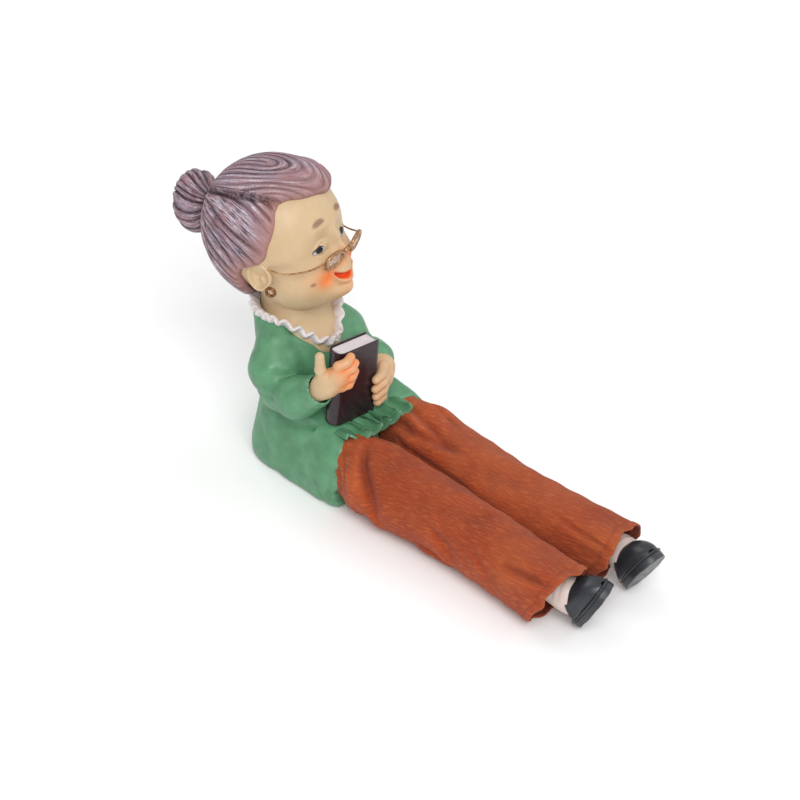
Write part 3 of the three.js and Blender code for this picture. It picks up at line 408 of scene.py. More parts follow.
def net(shape: Field, low: Array | Triple, high: Array | Triple, step: float) -> Surface:
    """The skin where a field is zero, as a net of small quads.

    The field is read at the corners of small cubes. A cube that the zero level crosses gets
    one point, the mean of the crossings on its edges; an edge that it crosses gets one face,
    between the points of the four cubes round it. The points are then evened out once and
    moved along the field's slope, to where the field is zero.

    Args:
        shape: the field, negative inside.
        low: lowest corner of the space to search.
        high: highest corner of it.
        step: size of a cube.

    Returns:
        The closed surface, with its faces outwards.
    """
    axes = [np.arange(low[i], high[i] + step, step) for i in range(3)]
    corners = np.stack(np.meshgrid(*axes, indexing="ij"), -1)
    size = corners.shape[:3]
    flat = corners.reshape(-1, 3)
    parts = [shape(flat[k : k + AT_ONCE]) for k in range(0, len(flat), AT_ONCE)]
    value = np.concatenate(parts).reshape(size)
    inside = value < 0
    cells = tuple(n - 1 for n in size)
    total, count = np.zeros(cells + (3,)), np.zeros(cells)
    for axis in range(3):
        others = [k for k in range(3) if k != axis]
        for a in (0, 1):
            for b in (0, 1):
                shift = [0, 0, 0]
                shift[others[0]], shift[others[1]] = a, b
                start = tuple(slice(shift[k], shift[k] + cells[k]) for k in range(3))
                shift[axis] = 1
                end = tuple(slice(shift[k], shift[k] + cells[k]) for k in range(3))
                crossed = inside[start] != inside[end]
                gap = np.where(crossed, value[start] - value[end], 1.0)
                t = np.where(crossed, value[start] / gap, 0.0)
                total[..., axis] += t
                total[..., others[0]] += np.where(crossed, a, 0)
                total[..., others[1]] += np.where(crossed, b, 0)
                count += crossed
    used = count > 0
    number = np.full(cells, -1)
    number[used] = np.arange(used.sum())
    index = np.stack(np.nonzero(used), -1)
    points = np.asarray(low) + step * (index + total[used] / count[used][:, None])
    faces = []
    for axis in range(3):
        second, third = (axis + 1) % 3, (axis + 2) % 3
        start = [slice(None)] * 3
        end = [slice(None)] * 3
        start[axis], end[axis] = slice(0, -1), slice(1, None)
        begins = inside[tuple(start)]
        crossed = begins != inside[tuple(end)]
        edge = np.stack(np.nonzero(crossed), -1)
        keep = (edge[:, second] > 0) & (edge[:, third] > 0)
        keep &= (edge[:, second] < cells[second]) & (edge[:, third] < cells[third])
        edge = edge[keep]
        quad = []
        for a, b in ((1, 1), (0, 1), (0, 0), (1, 0)):
            cell = edge.copy()
            cell[:, second] -= a
            cell[:, third] -= b
            quad.append(number[tuple(cell.T)])
        quad = np.stack(quad, -1)
        out = begins[tuple(edge.T)]
        faces.append(np.where(out[:, None], quad, quad[:, ::-1]))
    surface = Surface(points, np.concatenate(faces))
    surface.points = surface.smoothed(1, 0.5)
    reach = 0.3 * step
    for _ in range(2):
        here = shape(surface.points)
        asides = reach * np.eye(3)
        rises = [shape(surface.points + aside) - shape(surface.points - aside) for aside in asides]
        slope = grid(*rises) / (2 * reach)
        move = here[:, None] * slope / np.maximum(np.sum(slope**2, -1), 0.2)[:, None]
        surface.points = surface.points - np.clip(move, -step / 2, step / 2)
    return surface


# Pieces of the doll


def linked(name: str, data: bpy.types.ID) -> bpy.types.Object:
    """A new object of the scene."""
    thing = bpy.data.objects.new(name, data)
    bpy.context.scene.collection.objects.link(thing)
    return thing


def place(
    surface: Surface,
    name: str,
    material: bpy.types.Material,
    slot: Slot,
    body: str = "upper_body",
    stands_for: tuple[str, ...] = (),
    seats: tuple[str, ...] | None = None,
) -> bpy.types.Object:
    """Makes one piece of the doll from a surface.

    Args:
        surface: the skin in millimetres.
        name: the piece's name.
        material: its finish.
        slot: the record's slot for that finish; not used.
        body: the body that it rides on.
        stands_for: CAD nodes that it replaces.

    Returns:
        The new object.
    """
    faces = surface.faces
    corners = np.where(faces[:, 2] == faces[:, 3], 3, 4)
    keep = np.arange(4)[None, :] < corners[:, None]
    mesh = bpy.data.meshes.new(name)
    mesh.vertices.add(len(surface.points))
    mesh.vertices.foreach_set("co", (surface.points * MM).astype(np.float32).ravel())
    mesh.loops.add(int(corners.sum()))
    mesh.loops.foreach_set("vertex_index", faces[keep].astype(np.int32))
    mesh.polygons.add(len(faces))
    starts = np.concatenate([[0], np.cumsum(corners)[:-1]])
    mesh.polygons.foreach_set("loop_start", starts.astype(np.int32))
    mesh.update(calc_edges=True)
    mesh.validate()
    mesh.polygons.foreach_set("use_smooth", np.ones(len(mesh.polygons), bool))
    hard = surface.marks.pop("hard", None)
    if hard is not None:
        ends = np.empty(2 * len(mesh.edges), np.int32)
        mesh.edges.foreach_get("vertices", ends)
        sharp = (hard[ends.reshape(-1, 2)] > 0.5).all(1)
        mesh.attributes.new("sharp_edge", "BOOLEAN", "EDGE").data.foreach_set("value", sharp)
    for mark, values in surface.marks.items():
        numbers = mesh.attributes.new(mark, "FLOAT", "POINT").data
        numbers.foreach_set("value", values.astype(np.float32))
    mesh.materials.append(material)
    piece = linked(name, mesh)
    if seats is None:
        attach(piece, body)
    if stands_for:
        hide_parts(*stands_for)
    log.info("%s: %d faces on %s", name, len(mesh.polygons), seats or body)
    return piece


# Finishes


def linear(colour: Rgb) -> tuple[float, float, float, float]:
    """A colour as a screen shows it, from 0 to 255, turned into the shader's own scale."""
    c = np.array(colour, float) / 255.0
    flat = np.where(c <= 0.04045, c / 12.92, ((c + 0.055) / 1.055) ** 2.4)
    return (*flat.tolist(), 1.0)


class Paint:
    """One material and its shader nodes."""

    def __init__(self, name: str) -> None:
        """Starts a material with a plain shader and its output."""
        self.material = bpy.data.materials.new(name)
        self.material.use_nodes = True
        self.tree = self.material.node_tree
        self.tree.nodes.clear()
        self.shader = self.node("BsdfPrincipled")
        self.output = self.node("OutputMaterial")
        self.tree.links.new(self.shader.outputs["BSDF"], self.output.inputs["Surface"])
        self.place = self.node("TexCoord").outputs["Object"]

    def node(self, kind: str) -> bpy.types.Node:
        """A new shader node of a kind."""
        return self.tree.nodes.new("ShaderNode" + kind)

    def set(self, **values: float) -> None:
        """Sets plain numbers on the shader's own sockets."""
        for name, value in values.items():
            self.shader.inputs[name.replace("_", " ")].default_value = value

    def feed(self, socket: Socket, value: Socket | Rgb | float) -> None:
        """Gives a socket a plain number, a colour or another node's result."""
        if isinstance(value, (int, float)):
            socket.default_value = value
        elif isinstance(value, tuple):
            socket.default_value = linear(value)
        else:
            self.tree.links.new(value, socket)

    def link(self, source: Socket, socket: str) -> None:
        """Links a result to one of the shader's sockets."""
        self.tree.links.new(source, self.shader.inputs[socket])

    def finished(self, colour: Socket, roughness: Socket, normal: Socket) -> bpy.types.Material:
        """The material, once its three main sockets are linked."""
        self.link(colour, "Base Color")
        self.link(roughness, "Roughness")
        self.link(normal, "Normal")
        return self.material

    def mark(self, name: str) -> Socket:
        """The piece's own number of that name."""
        node = self.node("Attribute")
        node.attribute_name = name
        return node.outputs["Fac"]

    def sum(self, kind: str, a: Socket | float, b: Socket | float = 0.0) -> Socket:
        """One sum on two numbers, kept between 0 and 1 where the kind ends in "!"."""
        node = self.node("Math")
        node.operation = kind.rstrip("!")
        node.use_clamp = kind.endswith("!")
        for socket, value in zip(node.inputs, (a, b)):
            self.feed(socket, value)
        return node.outputs[0]

    def stretch(self, vector: Socket, scale: Triple) -> Socket:
        """The coordinates with each axis scaled by its own amount."""
        node = self.node("Mapping")
        node.inputs["Scale"].default_value = scale
        self.tree.links.new(vector, node.inputs["Vector"])
        return node.outputs["Vector"]

    def vector(self, x: Socket, y: Socket, z: Socket | float = 0.0) -> Socket:
        """Coordinates from single numbers."""
        node = self.node("CombineXYZ")
        for socket, value in zip(node.inputs, (x, y, z)):
            self.feed(socket, value)
        return node.outputs[0]

    def noise(self, size: float, detail: float = 3.0, vector: Socket | None = None) -> Socket:
        """Cloudy noise whose patches are about the given size in millimetres."""
        node = self.node("TexNoise")
        node.inputs["Scale"].default_value = 1.0 / (size * (MM if vector is None else 1.0))
        node.inputs["Detail"].default_value = detail
        self.tree.links.new(vector or self.place, node.inputs["Vector"])
        return node.outputs["Fac"]

    def between(
        self, value: Socket, low: float, high: float, to_low: float, to_high: float
    ) -> Socket:
        """The value moved from one range to another and kept inside it."""
        node = self.node("MapRange")
        for socket, given in zip(node.inputs, (value, low, high, to_low, to_high)):
            self.feed(socket, given)
        return node.outputs[0]

    def cloud(self, size: float, detail: float, *levels: float) -> Socket:
        """Cloudy noise moved from one range to another: low, high, to low and to high."""
        return self.between(self.noise(size, detail), *levels)

    def tint(self, share: Socket | float, under: Socket | Rgb, over: Socket | Rgb) -> Socket:
        """One colour laid over another by a share."""
        node = self.node("Mix")
        node.data_type = "RGBA"
        for index, value in ((0, share), (6, under), (7, over)):
            self.feed(node.inputs[index], value)
        return node.outputs[2]

    def relief(self, height: Socket, depth: float, under: Socket | None = None) -> Socket:
        """A bumpy normal from a height of 0 to 1, at a depth in millimetres."""
        node = self.node("Bump")
        node.inputs["Distance"].default_value = depth * MM
        self.tree.links.new(height, node.inputs["Height"])
        if under is not None:
            self.tree.links.new(under, node.inputs["Normal"])
        return node.outputs["Normal"]


@dataclass(frozen=True)
class PaintedCast:
    """Hand paint on a casting: cloudy colour, painted shade in hollows, wear and painted highlight
    on ridges.
    """

    name: str
    colour: Rgb
    # Darker paint: the random blotches, and the painted shade in the hollows.
    wash: Rgb
    # Paler paint on the ridges: rubbing wear together with a painted highlight.
    wear_and_highlight: Rgb
    roughness: float = 0.45
    cloud: float = 0.25
    wash_share: float = 0.8
    wear_and_highlight_share: float = 0.5

    def colours(self, paint: Paint) -> Socket:
        """The clouded colour with painted shade in the hollows, and wear with a painted highlight
        on the ridges.
        """
        cloud = paint.cloud(6.0, 4.0, 0.3, 0.7, 0.0, self.cloud)
        base = paint.tint(cloud, self.colour, self.wash)
        # The hollow mark lays painted shade; the ridge mark lays wear together with a painted
        # highlight.
        for mark, share, colour, levels in (
            ("hollow", self.wash_share, self.wash, (0.9, 5.0, 0.35, 0.7, 0.55, 1.0)),
            ("ridge", self.wear_and_highlight_share, self.wear_and_highlight, (1.4, 5.0, 0.4, 0.65, 0.2, 1.0)),
        ):
            broken = paint.sum("MULTIPLY", paint.cloud(*levels), share)
            base = paint.tint(paint.sum("MULTIPLY!", paint.mark(mark), broken), base, colour)
        return base

    def material(self) -> bpy.types.Material:
        """The finished material."""
        paint = Paint(self.name)
        return paint.finished(
            self.colours(paint),
            paint.cloud(2.5, 4.0, 0.3, 0.7, self.roughness - 0.07, self.roughness + 0.1),
            paint.relief(paint.noise(0.8, 4.0), 0.05),
        )


@dataclass(frozen=True)
class FacePaint(PaintedCast):
    """Skin paint with airbrushed blush, lips, a dark mouth and a mole, where the marks say."""

    blush: Rgb = (236, 128, 58)
    lip: Rgb = (232, 84, 26)
    mouth: Rgb = (196, 44, 18)
    spot: Rgb = (132, 92, 84)

    def colours(self, paint: Paint) -> Socket:
        """The skin's clouded colour under the painted face."""
        base = super().colours(paint)
        airbrush = paint.cloud(0.5, 4.0, 0.2, 0.8, 0.85, 1.0)
        blush = paint.sum("MULTIPLY!", paint.mark("blush"), airbrush)
        base = paint.tint(blush, base, self.blush)
        for mark, colour in (("lip", self.lip), ("mouth", self.mouth), ("spot", self.spot)):
            base = paint.tint(paint.mark(mark), base, colour)
        return base


@dataclass(frozen=True)
class HairPaint:
    """Dry-brushed hair: dark paint with painted shade in the grooves, pale lilac paint with a
    painted highlight on the strands, rust at the edge.
    """

    name: str = "hair_paint"
    colour: Rgb = (148, 120, 134)
    warm: Rgb = (156, 114, 120)
    groove: Rgb = (38, 26, 38)
    pale: Rgb = (222, 216, 228)
    edge: Rgb = (172, 124, 112)

    def material(self) -> bpy.types.Material:
        """The finished material."""
        paint = Paint(self.name)
        warm = paint.cloud(7.0, 3.0, 0.4, 0.62, 0.0, 1.0)
        base = paint.tint(warm, self.colour, self.warm)
        lanes = paint.vector(paint.mark("lane"), paint.mark("run"))
        strands = paint.noise(1.0, 3.0, paint.stretch(lanes, (1.15, 0.12, 1)))
        hairs = paint.noise(1.0, 2.0, paint.stretch(lanes, (2.6, 0.22, 1)))
        flecks = paint.cloud(0.42, 6.0, 0.42, 0.62, 0.25, 1.0)
        patches = paint.cloud(5.0, 3.0, 0.36, 0.62, 0.3, 1.0)
        away = paint.between(paint.mark("edge"), 0.0, 0.9, 1.0, 0.1)
        # Pale lilac on the strands' crests: dry-brushed paint together with a painted highlight.
        lit = paint.between(strands, 0.42, 0.58, 0.2, 1.5)
        lit = paint.sum("MULTIPLY", lit, paint.mark("strand"))
        pale = paint.sum("MULTIPLY", lit, paint.sum("MULTIPLY", flecks, patches))
        base = paint.tint(paint.sum("MULTIPLY!", pale, away), base, self.pale)
        # Near black in the grooves and under the fringe: dark paint together with painted shade;
        # the thin lines are the hair's texture.
        broken = paint.cloud(0.7, 4.0, 0.3, 0.62, 0.45, 1.0)
        thin = paint.sum("MULTIPLY", paint.between(hairs, 0.38, 0.46, 0.9, 0.0), away)
        dark = paint.sum("MAXIMUM", paint.sum("MULTIPLY!", paint.mark("groove"), broken), thin)
        base = paint.tint(dark, base, self.groove)
        rust = paint.sum("MULTIPLY!", paint.mark("edge"), 0.8)
        fine = paint.relief(paint.between(hairs, 0.34, 0.5, 0.0, 1.0), 0.14)
        return paint.finished(
            paint.tint(rust, base, self.edge),
            paint.cloud(1.2, 4.0, 0.3, 0.7, 0.5, 0.72),
            paint.relief(paint.noise(0.35, 5.0), 0.08, fine),
        )


@dataclass(frozen=True)
class RibbedCloth:
    """Crinkled cloth: fine broken ribs along the leg over a close weave."""

    name: str = "trouser_cloth"
    colour: Rgb = (164, 60, 16)
    deep: Rgb = (96, 25, 6)
    light: Rgb = (200, 108, 56)
    rib_width: float = 0.8
    rib_length: float = 4.2

    def material(self) -> bpy.types.Material:
        """The finished material."""
        paint = Paint(self.name)
        across, along = paint.mark("across"), paint.mark("along")
        skewed = paint.sum("ADD", across, paint.sum("MULTIPLY", along, 0.16))
        cloth = paint.vector(skewed, along)
        ribs = paint.stretch(cloth, (1 / self.rib_width, 1 / self.rib_length, 1))
        ribs = paint.between(paint.noise(1.0, 2.0, ribs), 0.34, 0.66, 0.0, 1.0)
        threads = paint.noise(1.0, 1.0, paint.stretch(cloth, (5.0, 1.6, 1)))
        fuzz = paint.noise(1.0, 4.0, paint.stretch(cloth, (9.0, 9.0, 1)))
        cloud = paint.cloud(12.0, 3.0, 0.35, 0.68, 0.0, 0.26)
        base = paint.tint(cloud, self.colour, self.deep)
        # Darker in the rib hollows and paler on the rib crests: the cloth's streaks with painted
        # shade and highlight.
        base = paint.tint(paint.between(ribs, 0.0, 1.0, 0.2, 0.0), base, self.deep)
        base = paint.tint(paint.between(ribs, 0.55, 1.0, 0.0, 0.36), base, self.light)
        # Large random pale patches: wear together with painted light.
        worn = paint.cloud(30.0, 2.0, 0.42, 0.66, 0.0, 0.26)
        base = paint.tint(worn, base, self.light)
        # Painted shade in the folds and hollows.
        hollow = paint.sum("MULTIPLY!", paint.mark("hollow"), 0.75)
        base = paint.tint(hollow, base, self.deep)
        # Painted highlight on the ridges.
        base = paint.tint(paint.sum("MULTIPLY!", paint.mark("ridge"), 0.35), base, self.light)
        # Painted shade on the cloth's inside, seen in the open cuff.
        base = paint.tint(paint.sum("MULTIPLY!", paint.mark("inside"), 0.8), base, (92, 28, 14))
        speck = paint.between(threads, 0.3, 0.75, 0.0, 0.16)
        paint.set(Sheen_Weight=0.06, Sheen_Roughness=0.5)
        deep = paint.relief(ribs, 0.2)
        fine = paint.relief(threads, 0.10, deep)
        return paint.finished(
            paint.tint(speck, base, self.light),
            paint.between(fuzz, 0.3, 0.7, 0.82, 0.98),
            paint.relief(fuzz, 0.05, fine),
        )


@dataclass(frozen=True)
class PageEdges:
    """Off-white page edges: close lines along the book's height, here and there a darker leaf."""

    name: str = "page_paint"
    colour: Rgb = (230, 222, 226)
    line: Rgb = (186, 172, 176)

    def material(self) -> bpy.types.Material:
        """The finished material."""
        paint = Paint(self.name)
        leaves = paint.vector(paint.mark("leaf"), paint.mark("run"))
        lines = paint.noise(1.0, 1.0, paint.stretch(leaves, (3.2, 0.05, 1)))
        lines = paint.between(lines, 0.4, 0.6, 0.0, 1.0)
        base = paint.tint(paint.sum("MULTIPLY", lines, 0.45), self.colour, self.line)
        stain = paint.cloud(2.0, 4.0, 0.5, 0.75, 0.0, 0.35)
        return paint.finished(
            paint.tint(stain, base, self.line),
            paint.between(lines, 0.0, 1.0, 0.6, 0.75),
            paint.relief(lines, 0.06),
        )


@dataclass(frozen=True)
class DullWire:
    """Thin gilt wire whose shine is broken by brown spots."""

    name: str
    colour: Rgb
    spot: Rgb
    roughness: float = 0.34

    def material(self) -> bpy.types.Material:
        """The finished material."""
        paint = Paint(self.name)
        worn = paint.cloud(1.1, 4.0, 0.42, 0.66, 0.0, 0.85)
        paint.set(Metallic=0.85)
        return paint.finished(
            paint.tint(worn, self.colour, self.spot),
            paint.between(worn, 0.0, 1.0, self.roughness, self.roughness + 0.25),
            paint.relief(paint.noise(0.4, 3.0), 0.02),
        )


@dataclass(frozen=True)
class ClearPane:
    """A thin clear pane with faint smears in its gloss."""

    name: str = "lens_clear"

    def material(self) -> bpy.types.Material:
        """The finished material."""
        paint = Paint(self.name)
        smear = paint.noise(1.5, 3.0)
        share = paint.between(smear, 0.4, 0.7, 0.0, 0.2)
        paint.set(Transmission_Weight=0.92, IOR=1.3, Alpha=0.45)
        return paint.finished(
            paint.tint(share, (236, 244, 250), (214, 228, 238)),
            paint.between(smear, 0.35, 0.7, 0.03, 0.12),
            paint.relief(smear, 0.01),
        )


@dataclass(frozen=True)
class Fibres:
    """Matted fibres with a little lint: pressed felt, or loose filling."""

    name: str
    colour: Rgb
    deep: Rgb
    lint: Rgb

    def material(self) -> bpy.types.Material:
        """The finished material."""
        paint = Paint(self.name)
        fibres = paint.noise(0.3, 6.0)
        lint = paint.cloud(1.2, 6.0, 0.55, 0.75, 0.0, 0.4)
        base = paint.tint(paint.between(fibres, 0.3, 0.7, 0.0, 0.6), self.colour, self.deep)
        return paint.finished(
            paint.tint(lint, base, self.lint),
            paint.between(fibres, 0.3, 0.7, 0.88, 1.0),
            paint.relief(fibres, 0.2),
        )


# The head, in its own frame: the face looks along -Y and her left is +X


@dataclass(frozen=True)
class HeadForm:
    """Skull and jaw eggs with the face pressed and raised on them."""

    centre: Triple = (-3.0, 20.0, 96.0)
    tilt_back: float = 13.0
    yaw: float = 15.0
    ray_start: Triple = (0.0, -3.0, -4.0)
    skull_centre: Triple = (0.0, 0.0, 1.8)
    skull_half: Triple = (24.4, 27.6, 26.8)
    jaw_centre: Triple = (0.0, -8.4, -14.2)
    jaw_half: Triple = (20.5, 19.0, 17.6)
    blend: float = 3.0
    mouth_half: float = 5.8
    mouth_z: float = -13.7
    # Rise, then middle and half widths sideways and upwards, on both sides of the face: bridge
    # and tip of the nose, nostrils, the dip under them, sockets, eyeballs, brows, the dip
    # between them, cheeks, muzzle, lower lip, the dip under it, and chin.
    bells: Rows = (
        (2.6, 0, -1.0, 2.0, 4.2), (5.0, 0, -5.6, 2.7, 2.5), (2.0, 2.9, -6.9, 1.5, 1.5),
        (-0.8, 0, -9.6, 2.2, 1.0), (-1.9, 6.6, 0.0, 3.8, 3.4), (1.5, 7.4, -1.8, 3.4, 2.3),
        (1.0, 6.5, 7.0, 5.5, 2.4), (-0.5, 0, 4.4, 1.6, 2.4), (2.8, 11.0, -9.4, 5.4, 4.8),
        (1.6, 0, -12.0, 7.0, 3.4), (1.9, 0, -15.8, 4.0, 5.0), (-0.8, 0, -20.4, 4.6, 0.9),
        (5.2, 0, -24.4, 6.4, 4.8),
    )
    # Strength, then middle and half widths: cheeks, their haze, nose, lip, lower lip and chin.
    blushes: Rows = (
        (0.95, 9.0, -15.0, 2.9, 3.9), (0.45, 10.2, -13.0, 5.0, 5.0), (0.5, 0, -7.2, 3.6, 3.0),
        (0.35, 0, -10.8, 6.0, 2.6), (0.45, 0, -19.0, 4.5, 1.8), (0.3, 0, -24.0, 6.0, 4.0),
    )

    def turn(self) -> Array:
        """The head's rotation in the model's frame."""
        return rotation(pitch=-self.tilt_back, yaw=self.yaw)

    def placed(self, surface: Surface) -> Surface:
        """A surface of the head's frame, put in the model's frame."""
        return surface.moved(self.turn(), np.array(self.centre))

    def reach(self, directions: Array, centre: Array, half: Array) -> Array:
        """How far a ray from the start runs to an egg's skin.

        It is the larger root of the quadratic for |away + t along| = 1, at the egg's own scale.
        """
        away = (np.array(self.ray_start) - np.array(centre)) / np.array(half)
        along = directions / np.array(half)
        a, b = np.sum(along**2, -1), along @ away
        return (-b + np.sqrt(b * b - a * (away @ away - 1))) / a

    def plain(self, directions: Array, grow: float = 0.0) -> Array:
        """The point of the two joined eggs in each direction, without the face."""
        skull = self.reach(directions, self.skull_centre, self.skull_half)
        jaw = self.reach(directions, self.jaw_centre, self.jaw_half)
        either = np.logaddexp(skull / self.blend, jaw / self.blend) * self.blend
        either -= math.log(2) * self.blend * bump(skull - jaw, 6.0)
        return np.array(self.ray_start) + directions * (either + grow)[..., None]

    def mouth(self, x: Array, z: Array) -> tuple[Array, Array, Array]:
        """How far inside the open mouth a place lies, and its edges above and below."""
        across = x + 0.6
        share = np.clip(1 - (across / self.mouth_half) ** 2, 0, 1)
        slant = self.mouth_z - 0.12 * across
        top = slant - 2.0 * share + 0.15 * bump(across, 1.2)
        low = slant + 0.1 - 4.9 * np.sqrt(share)
        inside = np.minimum(np.minimum(top - z, z - low), (self.mouth_half - np.abs(across)) * 0.8)
        return inside, top, low

    def bell_sum(self, x: Array, z: Array, bells: Rows) -> Array:
        """The sum of soft bells, the same on both sides of the face."""
        side = np.abs(x)
        return sum(
            rise * np.exp(-(((side - middle_x) / wide) ** 2) - ((z - middle_z) / high) ** 2)
            for rise, middle_x, middle_z, wide, high in bells
        )

    def relief(self, x: Array, z: Array) -> Array:
        """How far the face stands forward of the plain eggs at a place seen from the front."""
        side = np.abs(x)
        flat = grid(side, z)
        fold = near_line(flat, ((3.6, -7.6), (6.2, -10.2), (8.0, -13.2), (8.3, -16.0)))
        lid = near_line(flat, ((4.4, -1.5), (6.0, 0.4), (8.4, 0.6), (10.8, -1.5)))
        bag = near_line(flat, ((4.8, -3.9), (7.4, -5.0), (10.6, -3.9)))
        inside, top, low = self.mouth(x, z)
        within = ease(self.mouth_half + 1.2 - side, 0.0, 1.6)
        height = self.bell_sum(x, z, self.bells)
        height += 0.45 * bump(lid, 0.5) - 0.4 * bump(bag, 0.6) - 0.9 * bump(fold, 1.0)
        height += 0.9 * within * bump(z - top - 0.7, 0.9) + 1.5 * within * bump(z - low + 0.9, 1.2)
        height += -2.2 * ease(inside, -0.2, 1.1)
        return height

    def on_face(self, x: Array, z: Array, lift: float = 0.0) -> Array:
        """The point of the face at a place seen from the front, lifted off it if asked."""
        start = np.array(self.ray_start)
        aim = grid(x, -27.0, z).copy()
        for _ in range(8):
            point = self.plain(unit(aim - start))
            aim[..., 1] = point[..., 1]
            aim[..., 0] += (x - point[..., 0]) * 0.9
            aim[..., 2] += (z - point[..., 2]) * 0.9
        return grid(x, aim[..., 1] - self.relief(x, z) - lift, z)

    def directions(self, rows: int, columns: int) -> Array:
        """A grid of directions about the Z axis, closer together on the face."""
        turn = circle(columns)
        turn = turn - 0.55 * np.sin(turn)
        tall = np.linspace(0.004, 1, rows)
        tall = (tall + 0.10 * np.sin(2 * math.pi * tall) * np.sin(math.pi * tall)) * 0.992
        polar = math.pi * np.clip(tall, 0.004, 0.996)[:, None]
        return grid(np.sin(polar) * np.sin(turn), -np.sin(polar) * np.cos(turn), -np.cos(polar))

    def surface(self) -> Surface:
        """The head's skin: the eggs along each ray, then the relief on the side that faces -Y."""
        points = self.plain(self.directions(300, 300))
        x, z = points[..., 0].copy(), points[..., 2].copy()
        forward = ease(-points[..., 1], -2.0, 9.0)
        points[..., 1] -= self.relief(x, z) * forward
        neck = bump(np.hypot(x, points[..., 1] - 2), 12.0) * ease(-z, 22, 30)
        points[..., 2] -= 2.0 * neck
        inside, _, low = self.mouth(x, z)
        front = forward > 0.5
        blush = self.bell_sum(x, z, self.blushes)
        marks = {
            "blush": np.clip(blush, 0, 1) * forward,
            "lip": ease(inside, -0.25, 0.25) * front,
            "mouth": ease(inside, 0.2, 0.9) * ease(z - low, 0.9, 2.4) * front * 0.75,
            "spot": ease(0.8 - np.hypot(x + 14.0, z + 15.2), -0.35, 0.35) * 0.75 * front,
        }
        return skin(points, marks=marks).mark_hollows(0.55, 14)


@dataclass(frozen=True)
class FacePatch:
    """A thin painted patch that follows the face, with its own coordinates u and v."""

    centre: tuple[float, float]
    half_long: float
    half_high: float
    tilt: float
    arch: float = 0.0
    sharp: float = 0.6

    def surface(self, head: HeadForm, lift: float = 0.10, depth: float = 0.5) -> Surface:
        """A plate over the face: u runs along it, v across, and its half height at u is
        (1 - u^2) to the power of sharp; its middle line rises by an arch."""
        u, v = np.meshgrid(np.linspace(-1, 1, 41), np.linspace(-1, 1, 21), indexing="ij")
        high = self.half_high * np.clip(1 - u**2, 0.0004, 1) ** self.sharp
        along, up = self.half_long * u, high * v + self.arch * (1 - u**2)
        c, s = math.cos(math.radians(self.tilt)), math.sin(math.radians(self.tilt))
        x, z = self.centre[0] + along * c - up * s, self.centre[1] + along * s + up * c
        front, back = head.on_face(x, z, lift), head.on_face(x, z, -depth)
        rings = np.concatenate([front, back[:, ::-1]], 1)
        marks = {"u": np.concatenate([u, u], 1), "v": np.concatenate([v, v[:, ::-1]], 1)}
        return skin(rings, marks=marks)


